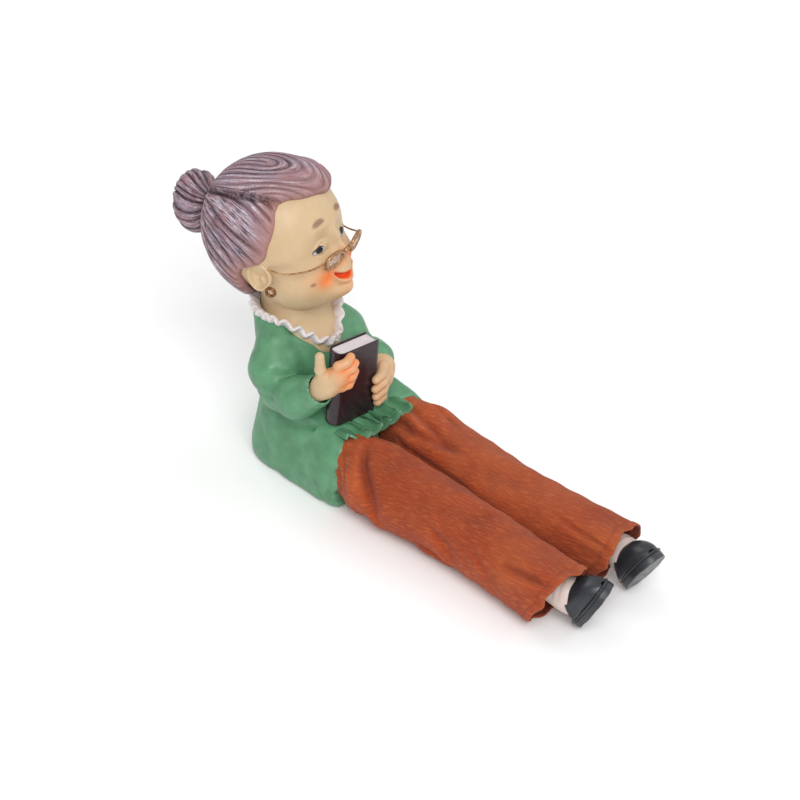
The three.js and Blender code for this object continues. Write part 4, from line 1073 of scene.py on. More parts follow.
@dataclass(frozen=True)
class HairForm:
    """The swept hair: a cap over the skull whose strands run from the knot to the hairline."""

    centre: Triple = (0.0, 0.4, 1.8)
    half: Triple = (24.4, 27.6, 26.8)
    knot: Triple = (0.0, 1.0, 0.3986)
    thickness: float = 2.3
    lining: float = -1.6
    columns: int = 720
    crease: float = -0.58
    parting: float = 0.62
    strands: int = 40
    loops: int = 6
    groove_depth: float = 2.0
    lobe: float = 1.9
    undercut: float = 0.9
    nape_swell: float = 1.6
    rim_depth: tuple[float, float] = (2.9, 4.2)
    right_line: Rows = (
        (0.0, -22.4, 16.6), (-6.6, -20.4, 18.2), (-12.4, -16.0, 19.6), (-15.4, -14.2, 17.0),
        (-18.3, -14.3, 12.5), (-21.6, -11.7, 5.5), (-23.4, -5.6, -1.9), (-24.0, -0.5, -3.0),
        (-23.5, 4.0, -7.0), (-22.0, 6.0, -14.0), (-18.0, 8.0, -21.0), (-10.0, 12.0, -27.0),
    )
    left_line: Rows = (
        (7.2, -22.6, 14.4), (13.0, -19.0, 14.4), (18.0, -14.6, 11.5), (21.6, -11.0, 5.5),
        (23.4, -5.6, -1.9), (24.0, -0.5, -3.0), (23.5, 4.0, -7.0), (22.0, 6.0, -14.0),
        (18.0, 8.0, -21.0), (10.0, 12.0, -27.0),
    )

    def basis(self) -> tuple[Array, Array, Array]:
        """The knot's direction, the sideways one and the one over the crown."""
        knot = unit(np.array(self.knot))
        side = np.array([1.0, 0.0, 0.0])
        return knot, side, np.cross(side, knot)

    def hairline(self, angles: Array) -> Array:
        """The polar angle of the hairline from the knot, for each angle about the knot."""
        knot, side, crown = self.basis()
        nape = ((0.0, 14.0, -27.0),)
        rows = np.array(self.right_line + self.left_line + nape)
        rows = unit((rows - np.array(self.centre)) / np.array(self.half))
        around = np.arctan2(rows @ side, rows @ crown)
        polar = np.arccos(rows @ knot)
        around = np.concatenate([around, around - 2 * math.pi, around + 2 * math.pi])
        polar = np.concatenate([polar] * 3)
        order = np.argsort(around)
        return spline(around[order], polar[order][:, None], angles)[..., 0]

    def surface(self) -> Surface:
        """The cap: outer rows from the knot to the hairline, then inner rows back.

        A direction leans from the knot by a share of the hairline's polar angle. The outer
        skin stands off the skull by the thickness, the fringe's lobe, and grooves that are
        deepest midway. Grooves are lines of equal phase: along the meridians at the sides,
        and along nested loops in the fringe.
        """
        knot, side, crown = self.basis()
        columns, parting = self.columns, self.parting
        angle = np.linspace(-math.pi, math.pi, columns, endpoint=False)[None, :]
        share = np.concatenate([np.linspace(0.02, 0.9, 78), np.linspace(0.9, 1.0, 26)[1:]])[:, None]
        polar = share * self.hairline(angle)
        crease = self.crease - 0.18 * np.sin(math.pi * share)
        middle, wide = (crease + parting) / 2, (parting - crease) / 2
        fringe = ease(angle, crease - 0.015, crease + 0.05)
        fringe = fringe * (1 - ease(angle, parting, parting + 0.12))
        bowed = angle - 0.42 * share**2.4 * np.sin(angle)
        phase = self.strands * bowed + 2.4 * np.sin(5 * bowed + 1.0)
        phase = phase + 1.5 * np.sin(11 * bowed + 0.6)
        phase = phase + 1.1 * np.sin(5 * share + 8 * bowed) + 0.7 * np.sin(11 * share - 13 * bowed)
        loop = np.hypot((angle - middle) / wide, 0.9 * np.clip((share - 0.62) / 0.38, 0, 1))
        nested = 2 * math.pi * self.loops * loop
        nested = nested + 1.5 * np.sin(4 * angle + 5 * share) + np.sin(9 * share)
        phase = mix(phase, nested, fringe)
        valley = 1 - np.abs(np.sin(phase / 2)) ** 0.85
        slow = np.sin(phase / 6.1 + 1.3 + 3.0 * share) * np.cos(phase / 13.0 + 2.0 * share)
        uneven = 0.6 + 0.4 * slow
        fade = ease(share, 0.03, 0.12) * (1 - ease(share, 0.955, 0.99) * (1 - 0.7 * fringe))
        fine = 0.5 + 0.5 * np.sin(3.1 * phase + 4 * np.sin(phase))
        groove = valley * uneven * fade * mix(1.0, 0.6, fringe)
        rise = self.thickness + 0.2 - self.groove_depth * groove + 0.2 * fine * fade
        full = np.maximum(bump(angle - crease, 0.38), ease(share, 0.68, 0.85))
        rise = rise + self.lobe * fringe * ease(share, 0.12, 0.55) * mix(0.12, 1.0, full)
        under = bump(angle - (crease - 0.03), 0.035) * ease(share, 0.25, 0.5)
        rise = rise - self.undercut * under
        rise = rise + self.nape_swell * bump(np.abs(angle) - math.pi, 0.75) * ease(share, 0.5, 0.9)
        edge = np.clip((share - 0.945) / 0.055, 0, 1)
        depth = mix(*self.rim_depth, fringe)
        rise = rise - depth * (1 - np.sqrt(np.clip(1 - edge**2, 0, 1)))
        inner = np.linspace(1.0, 0.02, 12)[1:, None]
        all_polar = np.concatenate([polar, inner * self.hairline(angle)])
        all_rise = np.concatenate([rise, np.full((len(inner), columns), self.lining)])
        lean = np.sin(all_polar)[..., None] * (
            crown * np.cos(angle)[..., None] + side * np.sin(angle)[..., None]
        )
        direction = knot * np.cos(all_polar)[..., None] + lean
        points = direction * (np.array(self.half) + all_rise[..., None]) + np.array(self.centre)
        rust = ease(share, 0.80, 1.0) * (1 - fringe) * bump(np.clip(np.abs(angle) - 1.9, 0, 9), 0.5)
        rust = 0.85 * rust + 0.6 * fringe * ease(share, 0.72, 1.0)
        lane = mix(24.0 * bowed, 16.0 * loop + 40.0, ease(fringe, 0.3, 0.7))
        run = mix(36.0 * share, 20.0 * angle, ease(fringe, 0.3, 0.7))
        # strand carries the pale paint and painted highlight on the crests; groove carries the
        # painted shade in the grooves and under the fringe's undercut.
        strand = np.clip((1 - valley) ** 2 * (0.45 + 0.55 * fine) * 1.3, 0, 1) * fade
        dark = 2.6 * valley**1.5 * uneven * fade * mix(1.0, 0.75, fringe) + 0.8 * under
        outer = {"groove": dark, "strand": strand, "edge": rust}
        outer = {name: np.clip(mark, 0, 1) for name, mark in outer.items()}
        outer |= {"lane": lane, "run": run}
        none = np.zeros((len(inner), columns))
        marks = {name: np.concatenate([mark, none]) for name, mark in outer.items()}
        return skin(points, marks=marks)


@dataclass(frozen=True)
class BunForm:
    """The knot of hair: a squat round whose strands meet at both ends of its axis."""

    centre: Triple = (0.0, 35.6, 11.0)
    half: Triple = (12.4, 8.2, 13.0)
    strands: int = 19

    def surface(self) -> Surface:
        """A ball about the Y axis, pinched at its base, grooved along its meridians."""
        angle = circle(380)[None, :]
        polar = np.linspace(0.05, math.pi - 0.05, 90)[:, None]
        turn = angle + 0.35 * np.cos(polar)
        phase = self.strands * turn + 2.0 * np.sin(3 * turn) + 1.2 * np.sin(7 * turn + 1 + polar)
        valley = 1 - np.abs(np.sin(phase / 2)) ** 0.8
        uneven = 0.7 + 0.3 * np.sin(phase / 3.7 + 0.8)
        fade = np.sin(polar) ** 0.4
        fine = 0.5 + 0.5 * np.sin(3 * phase + 3 * np.sin(phase))
        size = 1 - 0.13 * valley * uneven * fade + 0.015 * fine
        out = np.sin(polar) * (1 - 0.10 * ease(-np.cos(polar), 0.3, 1.0))
        ball = grid(out * np.cos(angle), np.cos(polar), out * np.sin(angle))
        points = np.array(self.centre) + np.array(self.half) * size[..., None] * ball
        marks = {
            # groove carries the painted shade in the grooves; strand the pale paint and painted
            # highlight on the crests.
            "groove": np.clip(2.7 * valley**1.5 * uneven * fade, 0, 1),
            "strand": np.clip((1 - valley) ** 1.5 * (0.5 + 0.5 * fine), 0, 1) * fade,
            "edge": np.zeros_like(valley),
            "lane": 12.0 * turn,
            "run": 11.0 * polar + 0 * angle,
        }
        return skin(points, marks=marks)


@dataclass(frozen=True)
class EarForm:
    """An ear: a tilted dish with a rolled rim and a lobe."""

    away: float = 22.9
    y: float = -4.6
    z: float = -8.0
    half_deep: float = 4.8
    half_high: float = 6.6

    def surface(self, side: Side) -> Surface:
        """A lathe-like grid: rings run from the back's middle over the rim into the hollow,
        and the rim is lower towards the face and thicker at the lobe."""
        profile = np.array(
            [
                [0.02, -2.4], [0.5, -2.2], [0.86, -1.5], [0.99, -0.3], [1.0, 0.7], [0.93, 1.35],
                [0.83, 1.4], [0.74, 0.9], [0.66, 0.1], [0.5, -0.5], [0.28, -0.9], [0.03, -1.0],
            ]
        )
        row = spline(np.arange(len(profile)), profile, np.linspace(0, len(profile) - 1, 60))
        angle = circle(90)[None, :]
        radius, height = row[:, :1], row[:, 1:]
        face = bump(np.angle(np.exp(1j * (angle - math.pi))), 0.9)
        lobe = bump(np.angle(np.exp(1j * (angle + math.pi * 0.5 + 0.2))), 0.7)
        lift = height * (1 - 0.55 * face * (height > 0)) + 0.7 * lobe * (1 - radius) * 2
        stretch = 1 - 0.16 * lobe + 0.05 * bump(np.angle(np.exp(1j * (angle - 1.1))), 0.8)
        y = self.half_deep * radius * np.cos(angle) * stretch
        z = self.half_high * radius * np.sin(angle) * stretch
        lean = math.radians(-14)
        c, s = math.cos(lean), math.sin(lean)
        x = side.value * (self.away + lift + 0.16 * y)
        points = grid(x, self.y + y * c - z * s * 0.8, self.z + y * s + z * c)
        return skin(points).mark_hollows(0.6, 8)


@dataclass(frozen=True)
class SpectacleForm:
    """Small oval spectacles low on the nose."""

    rim_x: float = 8.1
    rim_y: float = -30.4
    rim_z: float = -6.6
    toe_in: float = 12.0
    lean: float = 25.0
    half_wide: float = 5.0
    half_high: float = 3.2
    wire: float = 0.78

    def rim(self, side: Side) -> tuple[Array, Array]:
        """The rim's middle line and its outward directions."""
        angle = circle(72)
        c, s = oval(angle, 2.2)
        turn = rotation(pitch=self.lean, yaw=side.value * self.toe_in)
        line = grid(self.half_wide * c, 0.0, self.half_high * s) @ turn.T
        out = unit(grid(c, 0.0, s)) @ turn.T
        return line + np.array([side.value * self.rim_x, self.rim_y, self.rim_z]), out

    def frame(self) -> Surface:
        """Both rims and the bridge that arches over the nose."""
        parts = []
        for side in Side:
            line, out = self.rim(side)
            across = np.cross(out, unit(np.roll(line, -1, 0) - line))
            parts.append(ring_wire(line, out, unit(across), self.wire, self.wire))
        inner = self.rim_x - self.half_wide + 0.3
        arch = ((-1.0, 0.7, 0.2), (-0.7, 2.2, 1.6), (0, 3.0, 2.2), (0.7, 2.2, 1.6), (1.0, 0.7, 0.2))
        bridge = [(inner * a, self.rim_y - b, self.rim_z + c) for a, b, c in arch]
        parts.append(tube(bridge, [self.wire] * len(arch), 12, 40, 3))
        return together(parts)

    def lens(self, side: Side) -> Surface:
        """A thin pane inside the rim, a little domed to the front."""
        line, _ = self.rim(side)
        middle = line.mean(0)
        share = np.linspace(1, 0.03, 8)[:, None, None]
        ahead = np.array([0, -1.0, 0.0]) @ rotation(pitch=self.lean, yaw=side.value * self.toe_in).T
        dome = ahead * (1 - share**2) * 0.5
        front = middle + (line - middle) * share + dome + 0.2 * ahead
        back = middle + (line - middle) * share + dome - 0.2 * ahead
        return skin(np.concatenate([front[::-1], back]))

    def side_wire(self, side: Side) -> Surface:
        """The thin wire from the rim's outer end to the top of the ear."""
        s = side.value
        path = [
            (s * 13.4, -28.9, -5.6), (s * 15.6, -26.2, -6.6), (s * 18.6, -20.4, -7.4),
            (s * 21.6, -14.0, -6.6), (s * 22.9, -9.6, -4.2),
        ]
        return tube(path, [0.42, 0.4, 0.36, 0.36, 0.36], 10, 60, 3)


@dataclass
class Head:
    """The head with its hair, ears, spectacles and painted face."""

    form: HeadForm = field(default_factory=HeadForm)
    hair: HairForm = field(default_factory=HairForm)
    bun: BunForm = field(default_factory=BunForm)
    ear: EarForm = field(default_factory=EarForm)
    spectacles: SpectacleForm = field(default_factory=SpectacleForm)

    def eye(self, side: Side) -> FacePatch:
        """The painted eye of one side."""
        return FacePatch((side.value * 8.1 - 1.1, -2.4), 2.7, 1.5, side.value * -7.0, 0.35, 0.55)

    def brow(self, side: Side) -> FacePatch:
        """The painted eyebrow of one side, its outer end lower."""
        return FacePatch((side.value * 6.9, 8.2), 3.4, 1.2, side.value * -10.0, 0.5, 0.5)

    def build(self, paints: dict[str, bpy.types.Material]) -> None:
        """Places every piece of the head."""
        def put(surface: Surface, name: str, paint: str, slot: Slot, *nodes: str) -> None:
            place(self.form.placed(surface), name, paints[paint], slot, stands_for=nodes)

        put(self.form.surface(), "head_skin", "face", Slot.SKIN, "head")
        put(self.hair.surface(), "hair_swept", "hair", Slot.HAIR, "hair_cap")
        put(self.bun.surface(), "hair_knot", "hair", Slot.HAIR, "hair_bun")
        put(self.spectacles.frame(), "spectacle_rims", "wire", Slot.WIRE, "spectacle_frame")
        for side in Side:
            word = side.word
            put(self.ear.surface(side), f"{word}_ear_skin", "skin", Slot.SKIN, f"{word}_ear")
            put(self.eye(side).surface(self.form), f"{word}_eye", "eye", Slot.SKIN)
            put(self.brow(side).surface(self.form), f"{word}_brow", "brow", Slot.SKIN)
            put(self.spectacles.lens(side), f"{word}_pane", "lens", Slot.LENS, f"{word}_lens")
            put(self.spectacles.side_wire(side), f"{word}_side_wire", "wire", Slot.WIRE,
                f"{word}_temple_wire")
            angle = circle(40)
            out = unit(grid(0.25 * side.value * np.cos(angle), np.cos(angle), np.sin(angle)))
            middle = np.array([side.value * 23.8, -8.4, -14.0]) + 1.7 * out
            sideways = grid(side.value + 0.0 * angle, 0.0, 0.0)
            ring = ring_wire(middle, out, sideways, 0.6, 0.6)
            put(ring, f"{word}_ring", "earring", Slot.EARRING, f"{word}_earring")


# Clothes, hands and book


@dataclass
class Blouse:
    """The cast blouse with its full sleeves, its neck opening and its folds."""

    rows: Rows = (
        (0.4, -6.2, 28.6, 28.0, 4.0), (7.34, -6.2, 29.2, 28.4, 3.6), (16.4, -6.2, 27.6, 28.0, 3.1),
        (26.06, -5.4, 24.8, 27.0, 2.8), (32.0, -2.6, 22.8, 23.2, 2.5), (39.0, 2.6, 21.4, 18.5, 2.2),
        (46.0, 5.4, 20.8, 16.8, 2.1), (53.0, 8.0, 19.6, 15.8, 2.1), (59.05, 10.6, 17.8, 15.0, 2.1),
        (64.0, 13.0, 15.8, 14.5, 2.0), (68.0, 14.4, 12.5, 12.5, 2.0),
    )
    ridge_shift: Triple = (0.0, -2.2, 1.6)
    low: Triple = (-40.0, -43.0, -0.6)
    high: Triple = (33.0, 28.0, 70.0)
    step: float = 0.72

    def torso(self, p: Array) -> Array:
        """Roughly the distance to a stack of rounded boxes.

        At each height the middle, half sizes and roundness come from a spline through the
        rows; the distance is the section's stretched radius less one, at its own scale.
        """
        table = np.array(self.rows)
        z = np.clip(p[:, 2], table[0, 0], table[-1, 0])
        middle, wide, deep, power = spline(table[:, 0], table[:, 1:], z).T
        lean = -3.0 * np.clip((z - 31.5) / 21.5, 0, 1)
        power = np.where(p[:, 1] < middle, power + 4.0 * ease(34.0 - z, 0.0, 8.0), power)
        deep = deep + 5.4 * ease(34.0 - z, 0.0, 8.0) * (p[:, 1] < middle)
        wide = wide + 1.9 * ease(-p[:, 1], 16.0, 28.0) * bump(z - 16.0, 12.0)
        x, y = np.abs(p[:, 0] - lean) / wide, np.abs(p[:, 1] - middle) / deep
        radius = (x**power + y**power) ** (1 / power)
        around = (radius - 1) * np.minimum(wide, deep)
        ends = np.maximum(table[0, 0] - p[:, 2], p[:, 2] - table[-1, 0])
        return -blended(-around, -ends, 1.5)

    def sleeve(self, p: Array, side: Side) -> Array:
        """Upper and lower sleeve as filleted rods, with the elbow's bulge."""
        if side is Side.RIGHT:
            upper = ((-18.4, 6.8, 55.0), (-22.2, 3.2, 47.4), (-23.4, -1.6, 40.0))
            lower = ((-23.4, -1.6, 40.0), (-25.2, -12.5, 42.2), (-23.6, -21.6, 49.4))
        else:
            upper = ((12.0, 8.8, 54.4), (15.4, 4.6, 46.0), (16.2, -3.0, 38.6))
            lower = ((16.2, -3.0, 38.6), (16.4, -12.0, 39.8), (13.0, -19.4, 45.4))
        high = chain(p, upper, (7.8, 9.9, 8.6), 4.0)
        low = chain(p, lower, (8.4, 7.8, 6.8), 4.0)
        return blended(high, low, 2.2)

    def folds(self, p: Array) -> Array:
        """How deep the cloth is pressed in: a bell about each crease line, less each ridge's."""
        creases = (
            (1.2, 2.3, ((-28.0, -4.4, 51.5), (-22.0, -8.4, 47.6), (-15.0, -9.4, 45.4))),
            (0.7, 1.2, ((-30.0, -1.5, 44.0), (-27.6, -6.0, 43.0), (-26.0, -9.6, 42.4))),
            (0.8, 1.2, ((-30.6, 6.0, 41.0), (-33.0, -1.0, 41.2), (-32.0, -6.0, 42.6))),
            (1.1, 2.6, ((-25.0, 12.0, 33.0), (-24.6, 2.0, 29.0), (-25.0, -9.0, 27.6),
                        (-22.0, -18.0, 28.6))),
            (1.7, 1.7, ((-26.4, -12.0, 31.0), (-21.6, -19.6, 29.4), (-16.0, -25.0, 29.6),
                        (-11.0, -28.0, 30.6))),
            (1.0, 3.4, ((-26.0, -22.0, 27.0), (-27.6, -16.0, 20.0), (-29.0, -8.0, 8.0))),
            (0.7, 1.6, ((-29.4, -27.0, 10.0), (-29.4, -28.5, 5.0), (-29.0, -31.0, 0.0))),
            (1.0, 3.0, ((-27.5, 16.0, 22.0), (-28.5, 6.0, 14.0), (-29.8, -2.0, 3.0))),
            (0.9, 1.5, ((-29.6, -35.0, 14.0), (-29.4, -33.0, 6.0), (-28.6, -36.0, -1.0))),
            (0.6, 1.1, ((-30.8, -6.0, 38.6), (-31.4, -12.0, 41.8), (-28.8, -18.0, 47.0))),
            (0.7, 1.8, ((-27.6, -14.0, 35.0), (-26.0, -18.0, 37.6), (-21.0, -20.6, 39.0))),
            (0.8, 1.2, ((-23.4, 14.0, 52.0), (-26.6, 6.0, 50.4), (-29.4, 1.0, 51.6))),
            (1.1, 1.3, ((24.0, -6.0, 48.0), (17.0, -10.5, 46.0), (9.0, -10.5, 45.0))),
            (0.8, 1.2, ((25.0, 2.0, 43.0), (18.0, -8.0, 42.5), (12.0, -10.0, 42.0))),
            (0.9, 1.2, ((22.0, -18.0, 29.0), (27.0, -16.0, 20.0), (29.5, -12.0, 9.0))),
            (0.8, 1.3, ((8.0, 24.0, 34.0), (0.0, 25.6, 27.0), (-9.0, 24.4, 16.0),
                        (-12.0, 23.0, 3.0))),
            (0.8, 1.3, ((-16.0, 20.0, 38.0), (-19.0, 21.0, 26.0), (-24.0, 19.0, 12.0))),
        )
        total = np.zeros(len(p))
        for depth, width, path in creases:
            total += depth * bump(near_line(p, path), width)
            ridge = near_line(p, np.array(path) + self.ridge_shift)
            total -= 0.35 * depth * bump(ridge, 1.7 * width)
        return total

    def field(self, p: Array) -> Array:
        """The whole blouse: torso and sleeves filleted, less the neck, the lap and the folds."""
        whole = self.torso(p)
        for side in Side:
            whole = blended(whole, self.sleeve(p, side), 2.6)
        around = np.arctan2((p[:, 1] - 13.0) / 14.3, (p[:, 0] + 3.0) / 15.6)
        front = np.maximum(0, -np.sin(around)) ** 3
        collar = 65.6 - 9.4 * front + 0.8 * np.sin(around)
        whole = without(whole, collar - p[:, 2], 0.8)
        crumple = 0.8 * np.sin(0.55 * p[:, 2] + 1.0) + 0.5 * np.sin(1.3 * p[:, 2])
        right_edge = 35.6 + 1.2 * bump(p[:, 2] - 15.0, 10.0) + crumple
        edge = np.where(p[:, 0] < 0, right_edge, 34.4 + 0.6 * crumple)
        edge = edge - 5.0 * bump(p[:, 0] - 0.5, 5.0)
        whole = without(whole, p[:, 1] + edge, 2.2)
        shelf = np.maximum(p[:, 1] + 31.0 + 6.0 * ease(-p[:, 0], 17.5, 20.5), 26.0 - p[:, 2])
        whole = without(whole, shelf, 1.0)
        sideways = np.abs(p[:, 0]) - 14.5
        pair = np.hypot(sideways / 0.87, p[:, 2] - 14.6) - 13.3
        whole = without(whole, np.maximum(pair, p[:, 1] + 26.8), 0.8)
        cuffs = np.minimum(
            rod(p, (-23.8, -21.2, 49.0), (-22.4, -26.6, 54.0), 5.5, 5.5),
            rod(p, (13.2, -19.0, 45.2), (10.2, -24.6, 44.0), 5.4, 5.4),
        )
        whole = without(whole, cuffs, 0.9)
        return whole + self.folds(p)

    def surface(self) -> Surface:
        """The blouse as one net, with its hollows and ridges marked."""
        return net(self.field, self.low, self.high, self.step).mark_hollows(0.9, 14)


@dataclass(frozen=True)
class RuffleForm:
    """A zigzag strip along a path: its front edge swings more than its back."""

    thickness: float = 0.75
    collar_thickness: float = 1.15

    def strip(
        self, lines: tuple[Array, Array], up: Array, swing: Array, lift: Array, thin: Array,
        looped: bool = False,
    ) -> Surface:
        """A strip between two lines, moved up and down by its swing.

        Each section is a closed loop of points round a thin plate from the back line to the
        front line; the plate's height is the swing times the lift at each share of the way.

        Args:
            lines: the back line and the front line.
            up: the way that the strip swings, at each place along it.
            swing: how far it swings there.
            lift: the share of the swing, from the back line to the front line.
            thin: half the plate's thickness, from the back line to the front line.
            looped: whether the strip closes on itself.

        Returns:
            The closed surface.
        """
        back, front = lines
        share = np.linspace(0, 1, len(lift))[None, :, None]
        top = back[:, None] + (front - back)[:, None] * share
        top = top + up[:, None] * (swing[:, None] * lift)[..., None]
        middle = top.mean(1)
        round_trip = np.roll(middle, -1, 0) - np.roll(middle, 1, 0)
        along = unit(round_trip if looped else np.gradient(middle, axis=0))
        flat = unit(np.cross(along, front - back))
        flat = flat * np.sign(np.sum(flat * up, -1, keepdims=True) + 1e-9)
        half = thin[None, :, None] * flat[:, None]
        return skin(np.concatenate([top + half, (top - half)[:, ::-1]], 1), looped=looped)

    def hem(self) -> Surface:
        """The blouse's front hem where it lies over the lap."""
        u = np.linspace(-1.0, 1.0, 420)
        turn = 18.5 * u + 1.3 * np.sin(4 * u + 0.5) + 0.6 * np.sin(11 * u)
        near, calm = ease(-u, 0.55, 1.0), 1 - 0.7 * ease(-u, 0.75, 1.0)
        zig, zag = np.sin(turn) + 0.16 * np.sin(2 * turn + 0.8), calm * np.cos(turn)
        front = grid(
            -2.3 + 18.2 * u + 1.9 * zag,
            -38.4 + 3.6 * near + 1.2 * ease(u, 0.7, 1.0) - 1.5 * zag,
            31.4 - 1.6 * np.abs(u) ** 5 - 0.9 * zag,
        )
        back = grid(-2.3 + 17.6 * u + 0.5 * zag, -27.5, 30.6 - 1.2 * u**4)
        up = np.tile([0.0, -0.35, 1.0], (len(u), 1))
        wave = zig + 0.12 * np.sin(43 * u + 1)
        full = (3.2 + 0.5 * np.sin(5 * u + 1)) * calm
        share = np.linspace(0, 1, 9)
        thin = self.thickness * (1 - 0.45 * share**2)
        ruffle = self.strip((back, front), unit(up), full * wave, share**0.8, thin)
        return ruffle.mark_hollows(0.9, 12)

    def collar(self) -> Surface:
        """The ruffled collar that runs round the neck and down to the point of the V."""
        a = circle(620)
        front = np.maximum(0, -np.sin(a)) ** 4
        far = np.maximum(0, np.cos(a + 0.45))
        x = -3 + 14.6 * np.cos(a) * mix(1, 0.86, front) + 2.6 * far
        y = 13 + 13.3 * np.sin(a) - 6.9 * front - 1.6 * far
        z = 66.2 - 9.4 * front + 0.8 * np.sin(a)
        line, out = grid(x, y, z), unit(grid(np.cos(a), np.sin(a), 0.25))
        along = unit(np.roll(line, -1, 0) - np.roll(line, 1, 0))
        up = unit(np.cross(along, out))
        up = up * np.sign(up[:, 2:] + 1e-9)
        turn = 27 * a + 0.9 * np.sin(4 * a) + 0.6 * np.sin(9 * a + 1)
        wave = np.sin(turn) + 0.2 * np.sin(2 * turn + 0.6)
        full = 1 + 0.22 * np.cos(turn + 0.5 * np.sin(5 * a))
        back = line - 1.0 * out - 1.0 * up
        edge = line + (2.9 * full)[:, None] * out + (1.3 * full)[:, None] * up
        share = np.linspace(0, 1, 11)
        thin = self.collar_thickness * np.sqrt(np.clip(1 - share**3, 0.03, 1))
        lift = 0.35 + 0.65 * share
        frill = self.strip((back, edge), up, 1.15 * wave, lift, thin, looped=True)
        return frill.mark_hollows(0.7, 8)


@dataclass(frozen=True)
class NeckForm:
    """Neck and chest, seen inside the V of the collar."""

    rows: Rows = (
        (44.0, 7.5, 9.0, 9.0), (51.0, 7.0, 12.0, 14.4), (57.4, 9.0, 13.6, 14.6),
        (64.0, 12.3, 13.4, 13.4), (69.0, 13.6, 12.3, 12.6), (80.0, 15.6, 12.4, 12.8),
    )

    def surface(self) -> Surface:
        """A stack of ovals through the rows, with two soft creases across the throat."""
        table = np.array(self.rows)
        z = np.linspace(44, 80, 60)
        y, wide, deep = spline(table[:, 0], table[:, 1:], z).T
        angle = circle(120)[None, :]
        front = np.maximum(0, -np.sin(angle))
        crease = 0.5 * front * (bump(z[:, None] - 70.5, 0.8) + bump(z[:, None] - 74.5, 0.8))
        x = -1.6 + (wide[:, None] + 1.2 - crease) * np.cos(angle)
        depth = y[:, None] - 0.8 + (deep[:, None] + 0.4 - crease) * np.sin(angle)
        return skin(grid(x, depth, z[:, None])).mark_hollows(0.6, 10)


@dataclass(frozen=True)
class HandForm:
    """One hand: a palm, four fingers in two lengths each, and a thumb."""

    side: Side
    palm: Rows
    knuckles: Rows
    tips: Rows
    thumb: Rows
    palm_radii: tuple[float, ...] = (4.3, 4.9, 4.3)
    finger_radii: tuple[float, ...] = (2.2, 2.2, 1.95, 1.75)
    thumb_radii: tuple[float, ...] = (2.7, 2.2, 1.85)
    margin: float = 6.5
    step: float = 0.42

    def field(self, p: Array) -> Array:
        """Palm and fingers filleted together; each finger is fuller at its joints."""
        hand = chain(p, self.palm, self.palm_radii, 3.0)
        for knuckle, tip in zip(self.knuckles, self.tips):
            start, end = np.array(knuckle), np.array(tip)
            joint = mix(start, end, 0.5) + np.array([0.0, -1.1, 0.0])
            root = mix(np.array(self.palm[-1]), start, 0.45)
            finger = chain(p, (root, start, joint, end), self.finger_radii, 0.5)
            web = blended(hand, rod(p, root, start, 2.2, 2.1), 1.6)
            hand = np.minimum(web, blended(hand, finger, 0.3))
        return blended(hand, chain(p, self.thumb, self.thumb_radii, 0.8), 1.2)

    def surface(self) -> Surface:
        """The hand as one net, with orange blush between the fingers and at their tips."""
        every = np.array(self.palm + self.knuckles + self.tips + self.thumb)
        low, high = every.min(0) - self.margin, every.max(0) + self.margin
        surface = net(self.field, low, high, self.step)
        surface.mark_hollows(0.45, 10)
        blush = np.zeros(len(surface.points))
        for spot in self.knuckles + self.tips:
            blush += 0.45 * bump(np.linalg.norm(surface.points - np.array(spot), axis=-1), 3.6)
        strength = 0.9 if self.side is Side.RIGHT else 0.3
        blush = np.clip(1.3 * blush + 1.6 * surface.marks["hollow"], 0, 1)
        surface.marks["blush"] = strength * blush
        return surface


RIGHT_HAND = HandForm(
    Side.RIGHT,
    ((-24.0, -23.0, 50.4), (-22.0, -26.2, 54.4), (-19.2, -29.4, 58.2)),
    ((-19.4, -30.4, 63.4), (-17.6, -31.4, 60.2), (-17.2, -31.4, 56.8), (-18.4, -30.6, 53.6)),
    ((-13.6, -31.3, 65.6), (-12.0, -31.9, 62.2), (-12.2, -31.9, 58.4), (-13.8, -31.5, 54.8)),
    ((-22.6, -25.6, 56.0), (-24.2, -25.2, 62.0), (-23.6, -24.4, 67.4)),
)
LEFT_HAND = HandForm(
    Side.LEFT,
    ((12.2, -20.5, 46.5), (10.6, -24.0, 44.6), (8.2, -27.0, 42.4)),
    ((7.8, -28.2, 48.4), (8.0, -29.0, 44.8), (7.6, -29.0, 41.2), (7.0, -28.2, 37.8)),
    ((0.6, -30.9, 46.8), (-0.2, -31.3, 42.8), (0.2, -31.3, 39.0), (1.2, -30.9, 35.6)),
    ((10.6, -22.6, 46.6), (8.6, -19.4, 50.0), (5.2, -17.8, 52.4)),
)


